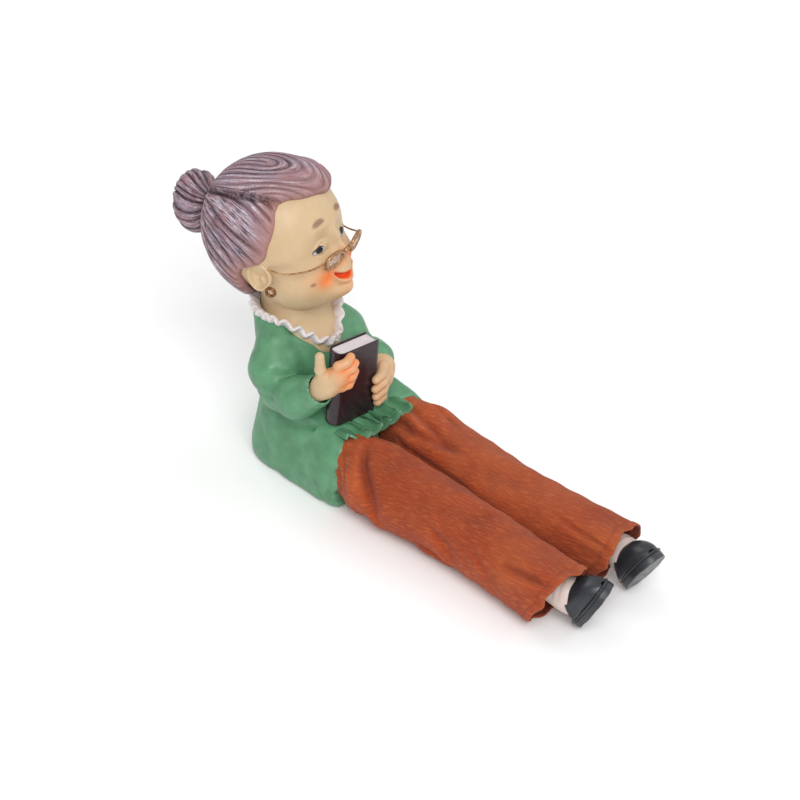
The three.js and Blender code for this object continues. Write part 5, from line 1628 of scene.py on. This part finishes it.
@dataclass(frozen=True)
class Book:
    """The closed book that she holds upright, its spine to her right."""

    centre: Triple = (-7.2, -24.8, 48.3)
    wide: float = 19.5
    high: float = 33.3
    thick: float = 8.0
    board: float = 0.8
    overhang: float = 0.6
    bulge: float = 1.2

    def placed(self, surface: Surface) -> Surface:
        """The book's own frame, leaned and put in the hands."""
        turn = rotation(yaw=-3.5) @ rotation(roll=5.5)
        return surface.moved(turn, np.array(self.centre))

    def cover(self) -> Surface:
        """Two boards and a rounded spine as one bent plate with rounded edges.

        A rounded rectangle, as thick as the board and as tall as the book, runs along a U:
        up one board, round the spine and down the other board.
        """
        half, edge = self.thick / 2, self.wide / 2
        middle = half - self.board / 2
        bend = np.linspace(-math.pi / 2, math.pi / 2, 24)
        straight = np.linspace(edge, -edge + 2.6, 24)
        front = grid(straight, -middle)
        spine_x = -edge + 2.6 - (2.6 + self.bulge - self.board / 2) * np.cos(bend) ** 0.8
        spine = grid(spine_x, middle * np.sin(bend))
        back = grid(straight[::-1], middle)
        path = np.concatenate([front, spine[1:-1], back])
        along = unit(np.gradient(path, axis=0))
        normal = grid(-along[:, 1], along[:, 0])
        angle = circle(64)
        across, up = oval(angle, 9.0)
        flat = path[:, None] + normal[:, None] * (self.board / 2 * across)[None, :, None]
        rings = grid(flat[..., 0], flat[..., 1], self.high / 2 * up)
        return skin(rings).mark_hollows(0.5, 4)

    def pages(self) -> Surface:
        """The page block: a box whose marks run across the leaves and along them."""
        half = self.thick / 2 - self.board - 0.05
        angle = circle(160)
        c, s = oval(angle, 14.0)
        low, high = -self.high / 2 + self.overhang, self.high / 2 - self.overhang
        heights = np.concatenate([[low], np.linspace(low + 0.15, high - 0.15, 40), [high]])
        inset = np.concatenate([[0.15], np.zeros(40), [0.15]])[:, None]
        scale = np.linspace(1, 0.02, 12)[:, None]
        wide = self.wide / 2 - self.overhang
        body = grid((wide - inset) * c + 0.3, (half - inset) * s, heights[:, None])
        cap = grid(0.3 + (wide - 0.15) * c * scale, (half - 0.15) * s * scale, high)
        base = cap[::-1].copy()
        base[..., 2] = low
        rings = np.concatenate([base[:-1], body, cap[1:]])
        return skin(rings, marks={"leaf": rings[..., 1], "run": rings[..., 0] + rings[..., 2]})

    def build(self, paints: dict[str, bpy.types.Material]) -> None:
        """Places the cover and the pages."""
        place(self.placed(self.cover()), "book_boards", paints["cover"], Slot.COVER,
              stands_for=("book_cover",))
        place(self.placed(self.pages()), "book_block", paints["pages"], Slot.PAGE,
              stands_for=("book_pages",))


@dataclass
class UpperBody:
    """Blouse, hem, collar, neck, hands, book and the pad underneath."""

    blouse: Blouse = field(default_factory=Blouse)
    ruffle: RuffleForm = field(default_factory=RuffleForm)
    neck: NeckForm = field(default_factory=NeckForm)
    book: Book = field(default_factory=Book)

    def build(self, paints: dict[str, bpy.types.Material]) -> None:
        """Places every piece of the cast body below the head."""
        sleeves = tuple(f"{s.word}_{part}_sleeve" for s in Side for part in ("upper", "lower"))

        def put(surface: Surface, name: str, paint: str, slot: Slot, *nodes: str) -> None:
            place(surface, name, paints[paint], slot, stands_for=nodes)

        put(self.blouse.surface(), "blouse_skin", "blouse", Slot.BLOUSE, "blouse_body", *sleeves)
        put(self.ruffle.hem(), "hem_ruffle", "blouse", Slot.BLOUSE, "blouse_hem")
        put(self.ruffle.collar(), "collar_ruffle", "collar", Slot.COLLAR, "collar_frill")
        put(self.neck.surface(), "throat", "skin", Slot.SKIN, "neck_and_chest")
        for hand in (RIGHT_HAND, LEFT_HAND):
            word = hand.side.word
            put(hand.surface(), f"{word}_hand_skin", "hand", Slot.SKIN, f"{word}_hand")
        self.book.build(paints)
        low, high = (np.array(corner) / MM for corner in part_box("seat_pad"))
        angle = circle(160)
        c, s = oval(angle, 6.0)
        rows = np.array(
            [[0.0, 0.9], [0.0, 0.4], [0.12, 0.1], [0.5, 0.0], [0.88, 0.1], [1.0, 0.4], [1.0, 0.9]]
        )
        half, middle = (high - low) / 2, (high + low) / 2
        rise, draw = rows[:, :1], 8 * rows[:, 1:] ** 2
        rings = grid(middle[0] + (half[0] - draw) * c, middle[1] + (half[1] - draw) * s,
                     low[2] + rise * (high[2] - low[2]))
        put(skin(rings), "felt_pad", "felt", Slot.FELT, "seat_pad")


# Trouser legs and feet


@dataclass(frozen=True)
class LegForm:
    """One stuffed trouser leg, from under the hem to the open cuff."""

    side: Side
    hem_y: float = -42.0
    cuff_y: float = -141.5
    seam: float = 3.0
    wall: float = 1.0
    cloth_radius: float = 14.2
    root_half: tuple[float, float] = (11.8, 14.8)
    thigh_half: tuple[float, float] = (16.0, 14.2)
    cuff_half: float = 13.6
    half_high: tuple[float, float] = (14.4, 13.4)
    columns: int = 240

    def ring(self, y: Array, angle: Array) -> tuple[Array, Array]:
        """The outer skin's points and the ribs' and folds' depth there.

        A section is a rounded box. Its half sizes and middle follow splines along the leg,
        and the folds press it in along slanting and lengthwise lines.
        """
        s = self.side.value
        t = np.clip((self.hem_y - y) / (self.hem_y - self.cuff_y), 0, 1)
        out = ease(-y, 36.6, 62.6)
        thigh = mix(*self.thigh_half, np.minimum(1, 1.9 * t))
        root = mix(*self.root_half, ease(-y, 36.0, 48.0))
        across = mix(mix(root, thigh, out), self.cuff_half, np.clip((t - 0.5) * 2, 0, 1))
        high = mix(*self.half_high, t)
        middle_x = s * (15 - 1.2 * np.sin(math.pi * t) * out + 1.4 * ease(t, 0.5, 1))
        middle_z = high + 0.3
        c, e = oval(angle, 2.35)
        key = 0.7 if s < 0 else 2.9
        ripple = np.cos(3 * angle + 0.12 * y + s) * bump(y + 22, 22)
        ripple = ripple + np.cos(5 * angle - 0.1 * y) * bump(y + 90, 16)
        ripple = ripple + 1.4 * np.cos(4 * angle + 1) * bump(y - self.cuff_y, 14)
        fold = -1.3 * out * (np.maximum(0, np.sin(angle)) * 0.8 + 0.2) * (1 + 0.5 * ripple)
        for at, width, start, end, depth, drift in self.creases():
            here = at + drift * (y - start) / (end - start)
            gap = np.angle(np.exp(1j * (angle - here)))
            body = ease(-y, -start - 4, -start + 6) * (1 - ease(-y, -end - 10, -end + 4))
            fold = fold - depth * bump(gap, width) * body
            fold = fold + 0.45 * depth * bump(gap - 2.1 * width, 1.5 * width) * body
        fold = fold + 0.16 * np.sin(0.55 * y + 3 * np.sin(2 * angle + key)) * bump(y + 100, 60)
        for rise, middle_y, long, middle_angle, wide in self.swells():
            fold = fold + rise * bump(y - middle_y, long) * bump(angle - middle_angle, wide)
        past_seam = self.cuff_y + self.seam - y
        fold = fold - 0.35 * bump(past_seam, 0.55) + 0.25 * ease(past_seam, -0.2, 0.6)
        ribs = 0.05 * np.sin(86 * angle + 0.35 * y + 1.5 * np.sin(0.3 * y + 5 * angle))
        depth = fold + ribs
        x = middle_x + (across + depth) * c
        z = middle_z + (high + depth) * e
        right = self.side is Side.RIGHT
        lean = (0.44 if right else 0.3) * ease(-y, 117.5, -self.cuff_y)
        ragged = 0.77 * np.sin(3 * angle + s) + 0.42 * np.sin(7 * angle)
        ragged = ragged + 0.35 * np.sin(11 * angle + 1)
        reach = 0.0 if right else 0.2 + 4.2 * bump(angle - 2.9, 0.8)
        place_y = y - lean * (z - middle_z) - (ragged + reach) * ease(-y, 130, -self.cuff_y)
        z = softly_above(z, 0.25, 0.22)
        x = s * softly_above(s * x, 0.22, 0.3)
        return grid(x, place_y, z), depth

    def swells(self) -> Rows:
        """Soft swells near the hip: rise, middle y, length, middle angle and width."""
        if self.side is Side.RIGHT:
            return (
                (1.2, -44.0, 6.0, 3.1, 0.75), (-1.0, -54.0, 4.0, 3.75, 0.5),
                (0.8, -62.0, 7.0, 3.5, 0.7),
            )
        return (1.3, -42.0, 6.5, 0.9, 0.55), (1.2, -52.0, 9.0, 1.95, 0.35)

    def creases(self) -> Rows:
        """Long folds: angle, width, first and last y, depth, and how far the angle drifts."""
        if self.side is Side.RIGHT:
            return (
                (1.6, 0.30, -40.0, -63.0, 2.7, 1.8), (1.75, 0.12, -42.0, -61.0, 1.2, 1.65),
                (2.3, 0.14, -36.0, -48.0, 0.9, 1.0),
                (1.15, 0.13, -34.0, -48.0, 1.2, -0.2), (3.55, 0.14, -80.0, -104.0, 1.6, 0.5),
                (2.75, 0.16, -32.0, -44.0, 1.0, 0.5),
                (2.7, 0.14, -84.0, -100.0, 1.4, 0.5), (0.6, 0.10, -40.0, -70.0, 0.8, 0.12),
                (2.6, 0.12, -106.0, -118.0, 1.0, 0.5), (2.5, 0.14, -122.0, -142.0, 1.9, -0.35),
            )
        return (
            (2.35, 0.16, -34.0, -70.0, 2.5, -0.45), (1.6, 0.13, -34.0, -62.0, 2.1, 0.3),
            (0.95, 0.12, -38.0, -58.0, 1.5, 0.35), (2.75, 0.14, -40.0, -84.0, 1.4, 0.1),
            (0.6, 0.10, -60.0, -96.0, 0.6, -0.1), (2.2, 0.10, -122.0, -142.0, 0.9, 0.15),
        )

    def tube(self, start: float, end: float, rows: int, open_end: bool) -> Surface:
        """One length of the leg as a closed cloth shell.

        The outer rows run from start to end and the inner rows back at the wall's depth; the
        two meet at both ends. The marks across and along are millimetres on the cloth.
        """
        columns = self.columns
        angle = circle(columns)[None, :] - 0.5 * math.pi
        y = np.linspace(start, end, rows)[:, None]
        outer, depth = self.ring(y, angle)
        middle = outer.mean(1, keepdims=True)
        inward = unit((middle - outer) * np.array([1, 0, 1]))
        inner = outer + self.wall * inward
        rim = (outer[-1:] + inner[-1:]) / 2 + np.array([0, -0.45 if open_end else 0.0, 0])
        top = (outer[:1] + inner[:1]) / 2
        rings = np.concatenate([top, outer, rim, inner[::-1]])
        across = np.broadcast_to(angle * self.cloth_radius, (rows, columns))
        along = np.broadcast_to(-y, (rows, columns))
        hollow = np.clip(-depth / 2.2, 0, 1)
        hard = np.isin(y, (start,) if open_end else (start, end))
        zero, one = np.zeros((1, columns)), np.ones((1, columns))

        def stack(outside: Array, first: Array, last: Array, inside: Array) -> Array:
            return np.concatenate([first, outside, last, inside[::-1]])

        marks = {
            "across": stack(across, across[:1], across[-1:], across),
            "along": stack(along, along[:1], along[-1:], along),
            # The inner skin is marked for painted shade inside the leg.
            "inside": stack(0 * along, zero, 0.5 * one, np.ones((rows, columns))),
            "hard": stack(hard * one, zero, zero, np.zeros((rows, columns))),
        }
        surface = skin(rings, looped=True, marks=marks)
        surface.mark_hollows(0.9, 14)
        clear = ease(np.abs(y - start), 0.8, 4.0)
        if not open_end:
            clear = clear * ease(np.abs(y - end), 0.8, 4.0)
        clear = stack(clear * one, zero, one if open_end else zero, clear * one).ravel()
        for mark in ("hollow", "ridge"):
            surface.marks[mark] = surface.marks[mark] * clear
        # Painted shade in the folds, added to the hollow mark.
        surface.marks["hollow"] = np.maximum(
            surface.marks["hollow"], stack(0.55 * hollow, zero, zero, 0 * hollow).ravel()
        )
        return surface

    def plug(self, start: float, end: float) -> Surface:
        """The filling: the leg's sections drawn in under the cloth, with rounded ends."""
        angle = circle(120)[None, :]
        y = np.linspace(start - 1.0, end + 1.0, 60)[:, None]
        outer, _ = self.ring(y, angle)
        middle = outer.mean(1, keepdims=True)
        body = middle + (outer - middle) * 0.86
        body[..., 2] = softly_above(body[..., 2], 2.2, 0.3)
        fall = np.linspace(0, 0.96, 9)[1:, None, None]
        rounded = np.sqrt(1 - fall**2)
        low, high = body[:1], body[-1:]
        first = low.mean(1, keepdims=True) + (low - low.mean(1, keepdims=True)) * rounded[::-1]
        last = high.mean(1, keepdims=True) + (high - high.mean(1, keepdims=True)) * rounded
        first = first + np.array([0, 1.0, 0]) * fall[::-1]
        last = last - np.array([0, 3.0, 0]) * fall
        return skin(np.concatenate([first, body, last]))


@dataclass
class Leg:
    """A trouser leg: two cloth lengths and their filling."""

    form: LegForm
    foot: "FootForm"
    share_y: float = -66.0
    top_y: float = -30.0
    filling_y: float = -126.5
    axis_z: float = 14.4

    def build(self, paints: dict[str, bpy.types.Material]) -> None:
        """Places the cloth lengths and the filling."""
        word = self.form.side.word
        hip, shin = f"{word}_thigh", f"{word}_shin"
        top, middle, cuff = self.top_y, self.share_y, self.form.cuff_y
        lengths = (
            ("top", (top, middle), middle, 90, ("upper_body", hip), (34.0, 52.0), "thigh"),
            ("low", (middle, cuff), self.filling_y, 150, (hip, shin), (80.0, 100.0), "shin"),
        )
        for name, (start, end), fill_end, rows, bodies, bend, node in lengths:
            cloth = self.form.tube(start, end, rows, name == "low")
            shell = place(cloth, f"{word}_leg_{name}", paints["trouser"], Slot.TROUSER,
                          stands_for=(f"{word}_{node}_cloth",), seats=bodies)
            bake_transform(shell)
            plug = place(self.form.plug(start, fill_end), f"{word}_filling_{name}",
                         paints["filling"], Slot.STUFFING,
                         stands_for=(f"{word}_{node}_stuffing",), seats=bodies)
            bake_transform(plug)
            long = abs(end - start) * MM
            flat = (cloth.area() * MM * MM / 2 / long, long)
            log.info("%s cut flat: %.1f x %.1f mm", shell.name, flat[0] / MM, flat[1] / MM)
        self.foot.build(paints)


@dataclass(frozen=True)
class FootForm:
    """A cast foot in a clog: sole, upper, and the sock with the stem that the cuff hides.

    Its own frame has the ankle at the origin, the sole flat and the toe along -Y.
    """

    side: Side
    pitch: float
    yaw: float
    ankle_x: float
    ankle_bend: float = 15.0
    ankle_y: float = -126.7
    ankle_z: float = 13.7
    heel: float = 7.4
    toe: float = -15.4
    half_wide: float = 7.8
    ground: float = -14.0
    sole_top: float = -10.0
    sock_low: Triple = (-7.6, -13.0, -10.6)
    sock_high: Triple = (7.6, 13.0, 20.0)
    step: float = 0.5

    def placed(self, surface: Surface) -> Surface:
        """A surface of the foot's frame, put in the model's frame."""
        turn = rotation(pitch=self.pitch, yaw=self.yaw)
        lean = math.radians(90 + self.pitch)
        stem = turn @ np.array([0.0, math.sin(lean), math.cos(lean)]) * self.ankle_bend
        origin = np.array([self.ankle_x, self.ankle_y, self.ankle_z]) - stem
        return surface.moved(turn, origin)

    def outline(self, angle: Array, inset: Array) -> tuple[Array, Array]:
        """The sole's outline: a rounded box at the heel and an oval at the toe, drawn in."""
        c, s = oval(angle, 2.0)
        square_c, square_s = oval(angle, 3.4)
        back = ease(np.sin(angle), -0.2, 0.5)
        c, s = mix(c, square_c, back), mix(s, square_s, back)
        middle, half = (self.heel + self.toe) / 2, (self.heel - self.toe) / 2
        y = middle + (half - inset) * s
        waist = 0.90 + 0.10 * ease(-y, -4.0, 6.0)
        return (self.half_wide * waist - inset) * c, y

    def sole(self) -> Surface:
        """A thick slab: rings drawn in at the edges, with a welt line under the rim."""
        profile = np.array(
            [
                [0.0, 7.0], [0.0, 3.5], [0.0, 1.2], [0.02, 0.5], [0.12, 0.15], [0.35, 0.0],
                [1.6, -0.05], [2.6, 0.0], [2.78, 0.22], [2.92, 0.25], [3.05, 0.1],
                [3.2, -0.25], [3.55, -0.35], [3.85, -0.2], [3.98, 0.2], [4.0, 1.2],
                [4.0, 4.0], [4.0, 7.0],
            ]
        )
        places = np.linspace(0, len(profile) - 1, 90)
        row = grid(*[np.interp(places, np.arange(len(profile)), part) for part in profile.T])
        angle = circle(140)[None, :]
        x, y = self.outline(angle, row[:, 1:])
        worn = 0.12 * np.sin(0.9 * x + 1.0) * np.sin(0.7 * y) * (row[:, :1] < 0.3)
        surface = skin(grid(x, y, self.ground + row[:, :1] + worn))
        surface.mark_hollows(0.4, 6)
        under = 1 - ease(surface.points[:, 2], self.ground + 0.1, self.ground + 0.8)
        surface.marks["ridge"] = np.maximum(surface.marks["ridge"], 0.95 * under)
        return surface

    def upper(self) -> Surface:
        """The clog's upper: a dome over the toes, open behind, with a rolled edge.

        Sections run from the open back to the toe. Each is an arch from one side of the sole
        over to the other, and the inner skin comes back the same way.
        """
        toe = 0.8 + 0.2 * np.sin(np.linspace(0, math.pi / 2, 18))
        t = np.concatenate([np.linspace(0, 0.8, 34), toe[1:]])[:, None]
        arch = np.linspace(0.0, math.pi, 80)[None, :]

        def shell(grow: float) -> Array:
            spread = np.sqrt(np.clip(1 - (t * 0.985) ** 2.6, 0, 1))
            back, front = 2.8, self.toe + 0.5 - grow
            y = mix(back, front, t)
            wide = (self.half_wide * 0.97 + grow) * spread ** 0.9
            high = (9.4 + grow) * np.clip(1 - (t * 0.99) ** 2.3, 0, 1) ** 0.62
            x = wide * np.sign(np.cos(arch)) * np.abs(np.cos(arch)) ** 0.85
            z = high * np.sin(arch) ** 0.8
            lean = (1 - t) ** 1.5 * 4.6 * np.clip(z / 9.4, 0, 1.1)
            return grid(x, y - lean, self.sole_top + 0.05 + z)

        outer, inner = shell(0.0), shell(-1.0)
        roll = 0.55 * bump(t - 0.03, 0.035)[..., None]
        inward = unit(inner - outer + 1e-6)
        outer = outer - inward * roll
        edge = (outer[:1] + inner[:1]) / 2 + np.array([0, 0.45, 0])
        body, lining = (np.concatenate([edge, part]) for part in (outer, inner))
        return skin(np.concatenate([body, lining[:, ::-1]], 1)).mark_hollows(0.4, 6)

    def sock_field(self, p: Array) -> Array:
        """Heel, instep, ankle and stem filleted together, with soft creases round the ankle."""
        lean = math.radians(90 + self.pitch)
        way = np.array([0.0, math.sin(lean), math.cos(lean)])
        leg = chain(p, ((0, 0.6, -5.2), (0, 0.5, -2.0), way * 4.4), (6.5, 6.4, 5.9), 2.0)
        instep = chain(p, ((0, 0, -4.0), (0, -5.0, -5.6), (0, -8.6, -6.6)), (5.0, 4.0, 2.8), 2.0)
        stem = rod(p, way * 2, way * self.ankle_bend, 3.1, 3.1)
        ball = np.linalg.norm(p - way * self.ankle_bend, axis=-1) - 4.0
        whole = blended(blended(leg, instep, 1.5), blended(stem, ball, 0.8), 1.0)
        height = p @ way
        creases = bump(height + 0.6, 0.55) + bump(height - 2.0, 0.6)
        whole = whole + 0.22 * creases * ease(-p[:, 1], -6, 4)
        return np.maximum(whole, self.sole_top + 0.3 - p[:, 2])

    def build(self, paints: dict[str, bpy.types.Material]) -> None:
        """Places the sole, the upper and the sock of one foot."""
        word = self.side.word
        sock = net(self.sock_field, self.sock_low, self.sock_high, self.step)
        for surface, name, paint, slot, node in (
            (self.sole(), "clog_sole", "shoe", Slot.SHOE, "shoe_sole"),
            (self.upper(), "clog_upper", "shoe", Slot.SHOE, "shoe_upper"),
            (sock.mark_hollows(0.4, 8), "sock", "sock", Slot.SOCK, "sock_and_stem"),
        ):
            place(self.placed(surface), f"{word}_{name}", paints[paint], slot,
                  body=f"{word}_foot", stands_for=(f"{word}_{node}",))


# The stage


@dataclass(frozen=True)
class Studio:
    """The camera, a pale floor, a white surround and soft lights.

    The camera's target and distance are millimetres; floor and lights are in metres.
    """

    target: Triple = (8.6, -36.3, 35.4)
    azimuth: float = -46.0
    elevation: float = 37.0
    distance: float = 820.0
    lens: float = 92.25
    floor_half: float = 3.0
    floor_gap: float = 0.0004
    light_aim: Triple = (0.0, -0.04, 0.05)
    glow: float = 0.52

    def camera(self) -> None:
        """Stands the camera where the photograph was taken from."""
        a, e = math.radians(self.azimuth), math.radians(self.elevation)
        back = Vector((math.sin(a) * math.cos(e), -math.cos(a) * math.cos(e), math.sin(e)))
        data = bpy.data.cameras.new("photo_camera")
        data.lens, data.sensor_width, data.clip_start = self.lens, 36.0, 0.01
        camera = linked("photo_camera", data)
        camera.location = Vector(self.target) * MM + back * self.distance * MM
        camera.rotation_euler = back.to_track_quat("Z", "Y").to_euler()
        bpy.context.scene.camera = camera

    def floor(self) -> None:
        """A pale matt floor under the doll."""
        mesh = bpy.data.meshes.new("floor")
        size = self.floor_half
        corners = [(-size, -size, 0), (size, -size, 0), (size, size, 0), (-size, size, 0)]
        mesh.from_pydata(corners, [], [(0, 1, 2, 3)])
        paint = Paint("floor_paint")
        cloud = paint.cloud(60.0, 2.0, 0.3, 0.7, 0.0, 0.3)
        paint.link(paint.tint(cloud, (252, 252, 252), (248, 248, 248)), "Base Color")
        paint.set(Roughness=0.9)
        paint.link(paint.relief(paint.noise(2.0, 3.0), 0.01), "Normal")
        mesh.materials.append(paint.material)
        floor = linked("floor", mesh)
        floor.location.z = -self.floor_gap

    def lights(self) -> None:
        """Three large soft lights that look at the doll."""
        for name, place_m, size, power in (
            ("key", (-0.55, -0.75, 1.05), 0.8, 12.0),
            ("fill", (0.9, -0.5, 0.8), 1.1, 3.4),
            ("back", (0.1, 0.9, 0.9), 0.9, 3.5),
        ):
            data = bpy.data.lights.new(name, "AREA")
            data.size, data.energy = size, power
            light = linked(name, data)
            light.location = place_m
            aim = Vector(place_m) - Vector(self.light_aim)
            light.rotation_euler = aim.to_track_quat("Z", "Y").to_euler()

    def surround(self) -> None:
        """White where the camera or a shiny piece looks past the doll, and soft light elsewhere."""
        world = bpy.data.worlds.new("surround")
        world.use_nodes = True
        tree = world.node_tree
        tree.nodes.clear()
        path = tree.nodes.new("ShaderNodeLightPath")
        both = tree.nodes.new("ShaderNodeMath")
        both.operation = "MAXIMUM"
        tree.links.new(path.outputs["Is Camera Ray"], both.inputs[0])
        tree.links.new(path.outputs["Is Transmission Ray"], both.inputs[1])
        level = tree.nodes.new("ShaderNodeMapRange")
        level.inputs["To Min"].default_value = self.glow
        level.inputs["To Max"].default_value = 1.0
        tree.links.new(both.outputs[0], level.inputs[0])
        glow = tree.nodes.new("ShaderNodeBackground")
        glow.inputs["Color"].default_value = (1, 1, 1, 1)
        tree.links.new(level.outputs[0], glow.inputs["Strength"])
        out = tree.nodes.new("ShaderNodeOutputWorld")
        tree.links.new(glow.outputs[0], out.inputs["Surface"])
        bpy.context.scene.world = world

    def build(self) -> None:
        """Sets the whole stage."""
        self.camera()
        self.floor()
        self.lights()
        self.surround()
        bpy.context.scene.view_settings.view_transform = "Standard"


# The painted eyes and brows, and the list of all finishes


def eye_material() -> bpy.types.Material:
    """Painted eye: pale grey-blue white, black pupil, dark liner over the top and outer edge."""
    paint = Paint("eye_paint")
    u, v = paint.mark("u"), paint.mark("v")
    along = paint.sum("MULTIPLY", u, 1.7)
    off = paint.vector(paint.sum("ADD", along, -0.1), v)
    length = paint.node("VectorMath")
    length.operation = "LENGTH"
    paint.tree.links.new(off, length.inputs[0])
    pupil = paint.between(length.outputs["Value"], 0.95, 1.08, 1.0, 0.0)
    white = paint.tint(paint.cloud(0.8, 3.0, 0.3, 0.7, 0.0, 0.5), (196, 204, 206), (150, 160, 168))
    base = paint.tint(pupil, white, (20, 18, 18))
    liner = paint.between(v, 0.3, 0.5, 0.0, 0.97)
    base = paint.tint(liner, base, (48, 36, 30))
    ends = paint.between(paint.sum("ABSOLUTE", u), 0.78, 0.95, 0.0, 0.8)
    base = paint.tint(ends, base, (90, 66, 52))
    low = paint.between(v, -0.95, -0.8, 0.7, 0.0)
    return paint.finished(
        paint.tint(low, base, (150, 110, 84)),
        paint.between(pupil, 0.0, 1.0, 0.3, 0.18),
        paint.relief(paint.noise(0.6, 2.0), 0.01),
    )


def brow_material() -> bpy.types.Material:
    """Brown brushed eyebrow that thins to skin colour at its edges."""
    paint = Paint("brow_paint")
    u, v = paint.mark("u"), paint.mark("v")
    edge = paint.sum("MAXIMUM", paint.sum("ABSOLUTE", u), paint.sum("ABSOLUTE", v))
    across = paint.vector(paint.sum("MULTIPLY", u, 9.0), paint.sum("MULTIPLY", v, 1.5))
    hairs = paint.noise(1.0, 3.0, across)
    soft = paint.between(edge, 0.55, 1.0, 0.95, 0.25)
    share = paint.sum("MULTIPLY!", soft, paint.between(hairs, 0.3, 0.7, 0.7, 1.1))
    return paint.finished(
        paint.tint(share, (206, 178, 148), (134, 96, 74)),
        paint.between(hairs, 0.3, 0.7, 0.45, 0.6),
        paint.relief(hairs, 0.03),
    )


def finishes() -> dict[str, bpy.types.Material]:
    """Every finish of the doll by its short name."""
    # Each cast: its paint, the darker paint of blotches and painted shade, the paler paint of wear
    # and painted highlight, then roughness, cloud and two shares.
    tones = ((204, 178, 140), (170, 128, 86), (222, 200, 168))
    face = FacePaint("skin_face", *tones, 0.42, 0.22, 0.35, 0.25)
    hand = FacePaint("skin_hand", *tones, 0.42, 0.3, 0.5, 0.3)
    casts = {
        "skin": ("skin_plain", *tones, 0.42, 0.25, 0.7, 0.5),
        "blouse": (
            "blouse_paint", (92, 150, 110), (44, 84, 58), (150, 196, 166), 0.42, 0.4, 0.9, 0.45,
        ),
        "collar": (
            "collar_paint", (230, 222, 222), (168, 150, 146), (244, 240, 240), 0.5, 0.25, 0.7, 0.5,
        ),
        "cover": ("cover_paint", (44, 27, 34), (22, 13, 17), (96, 80, 86), 0.2, 0.4, 0.5, 0.3),
        "shoe": ("shoe_paint", (46, 48, 54), (24, 24, 26), (104, 104, 104), 0.36, 0.35, 0.7, 0.4),
        "sock": (
            "sock_paint", (222, 204, 196), (178, 150, 136), (236, 224, 218), 0.5, 0.3, 0.6, 0.3,
        ),
    }
    return {
        "face": face.material(), "hand": hand.material(), "hair": HairPaint().material(),
        **{name: PaintedCast(*values).material() for name, values in casts.items()},
        "trouser": RibbedCloth().material(), "pages": PageEdges().material(),
        "wire": DullWire("gold_wire", (190, 148, 106), (124, 88, 58), 0.35).material(),
        "earring": DullWire("earring_paint", (150, 100, 66), (86, 56, 36), 0.4).material(),
        "lens": ClearPane().material(),
        "felt": Fibres("felt", (62, 58, 56), (38, 36, 35), (104, 98, 92)).material(),
        "filling": Fibres("stuffing", (232, 228, 222), (206, 200, 192), (246, 244, 240)).material(),
        "eye": eye_material(), "brow": brow_material(),
    }


def main() -> None:
    """Builds the looks and the stage."""
    logging.basicConfig(level=logging.INFO)
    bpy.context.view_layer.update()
    paints = finishes()
    Head().build(paints)
    UpperBody().build(paints)
    for foot in (FootForm(Side.RIGHT, -63.0, 19.0, -17.6), FootForm(Side.LEFT, -63.0, -5.0, 21.5)):
        Leg(LegForm(foot.side), foot).build(paints)
    Studio().build()


if __name__ == "__main__":
    main()
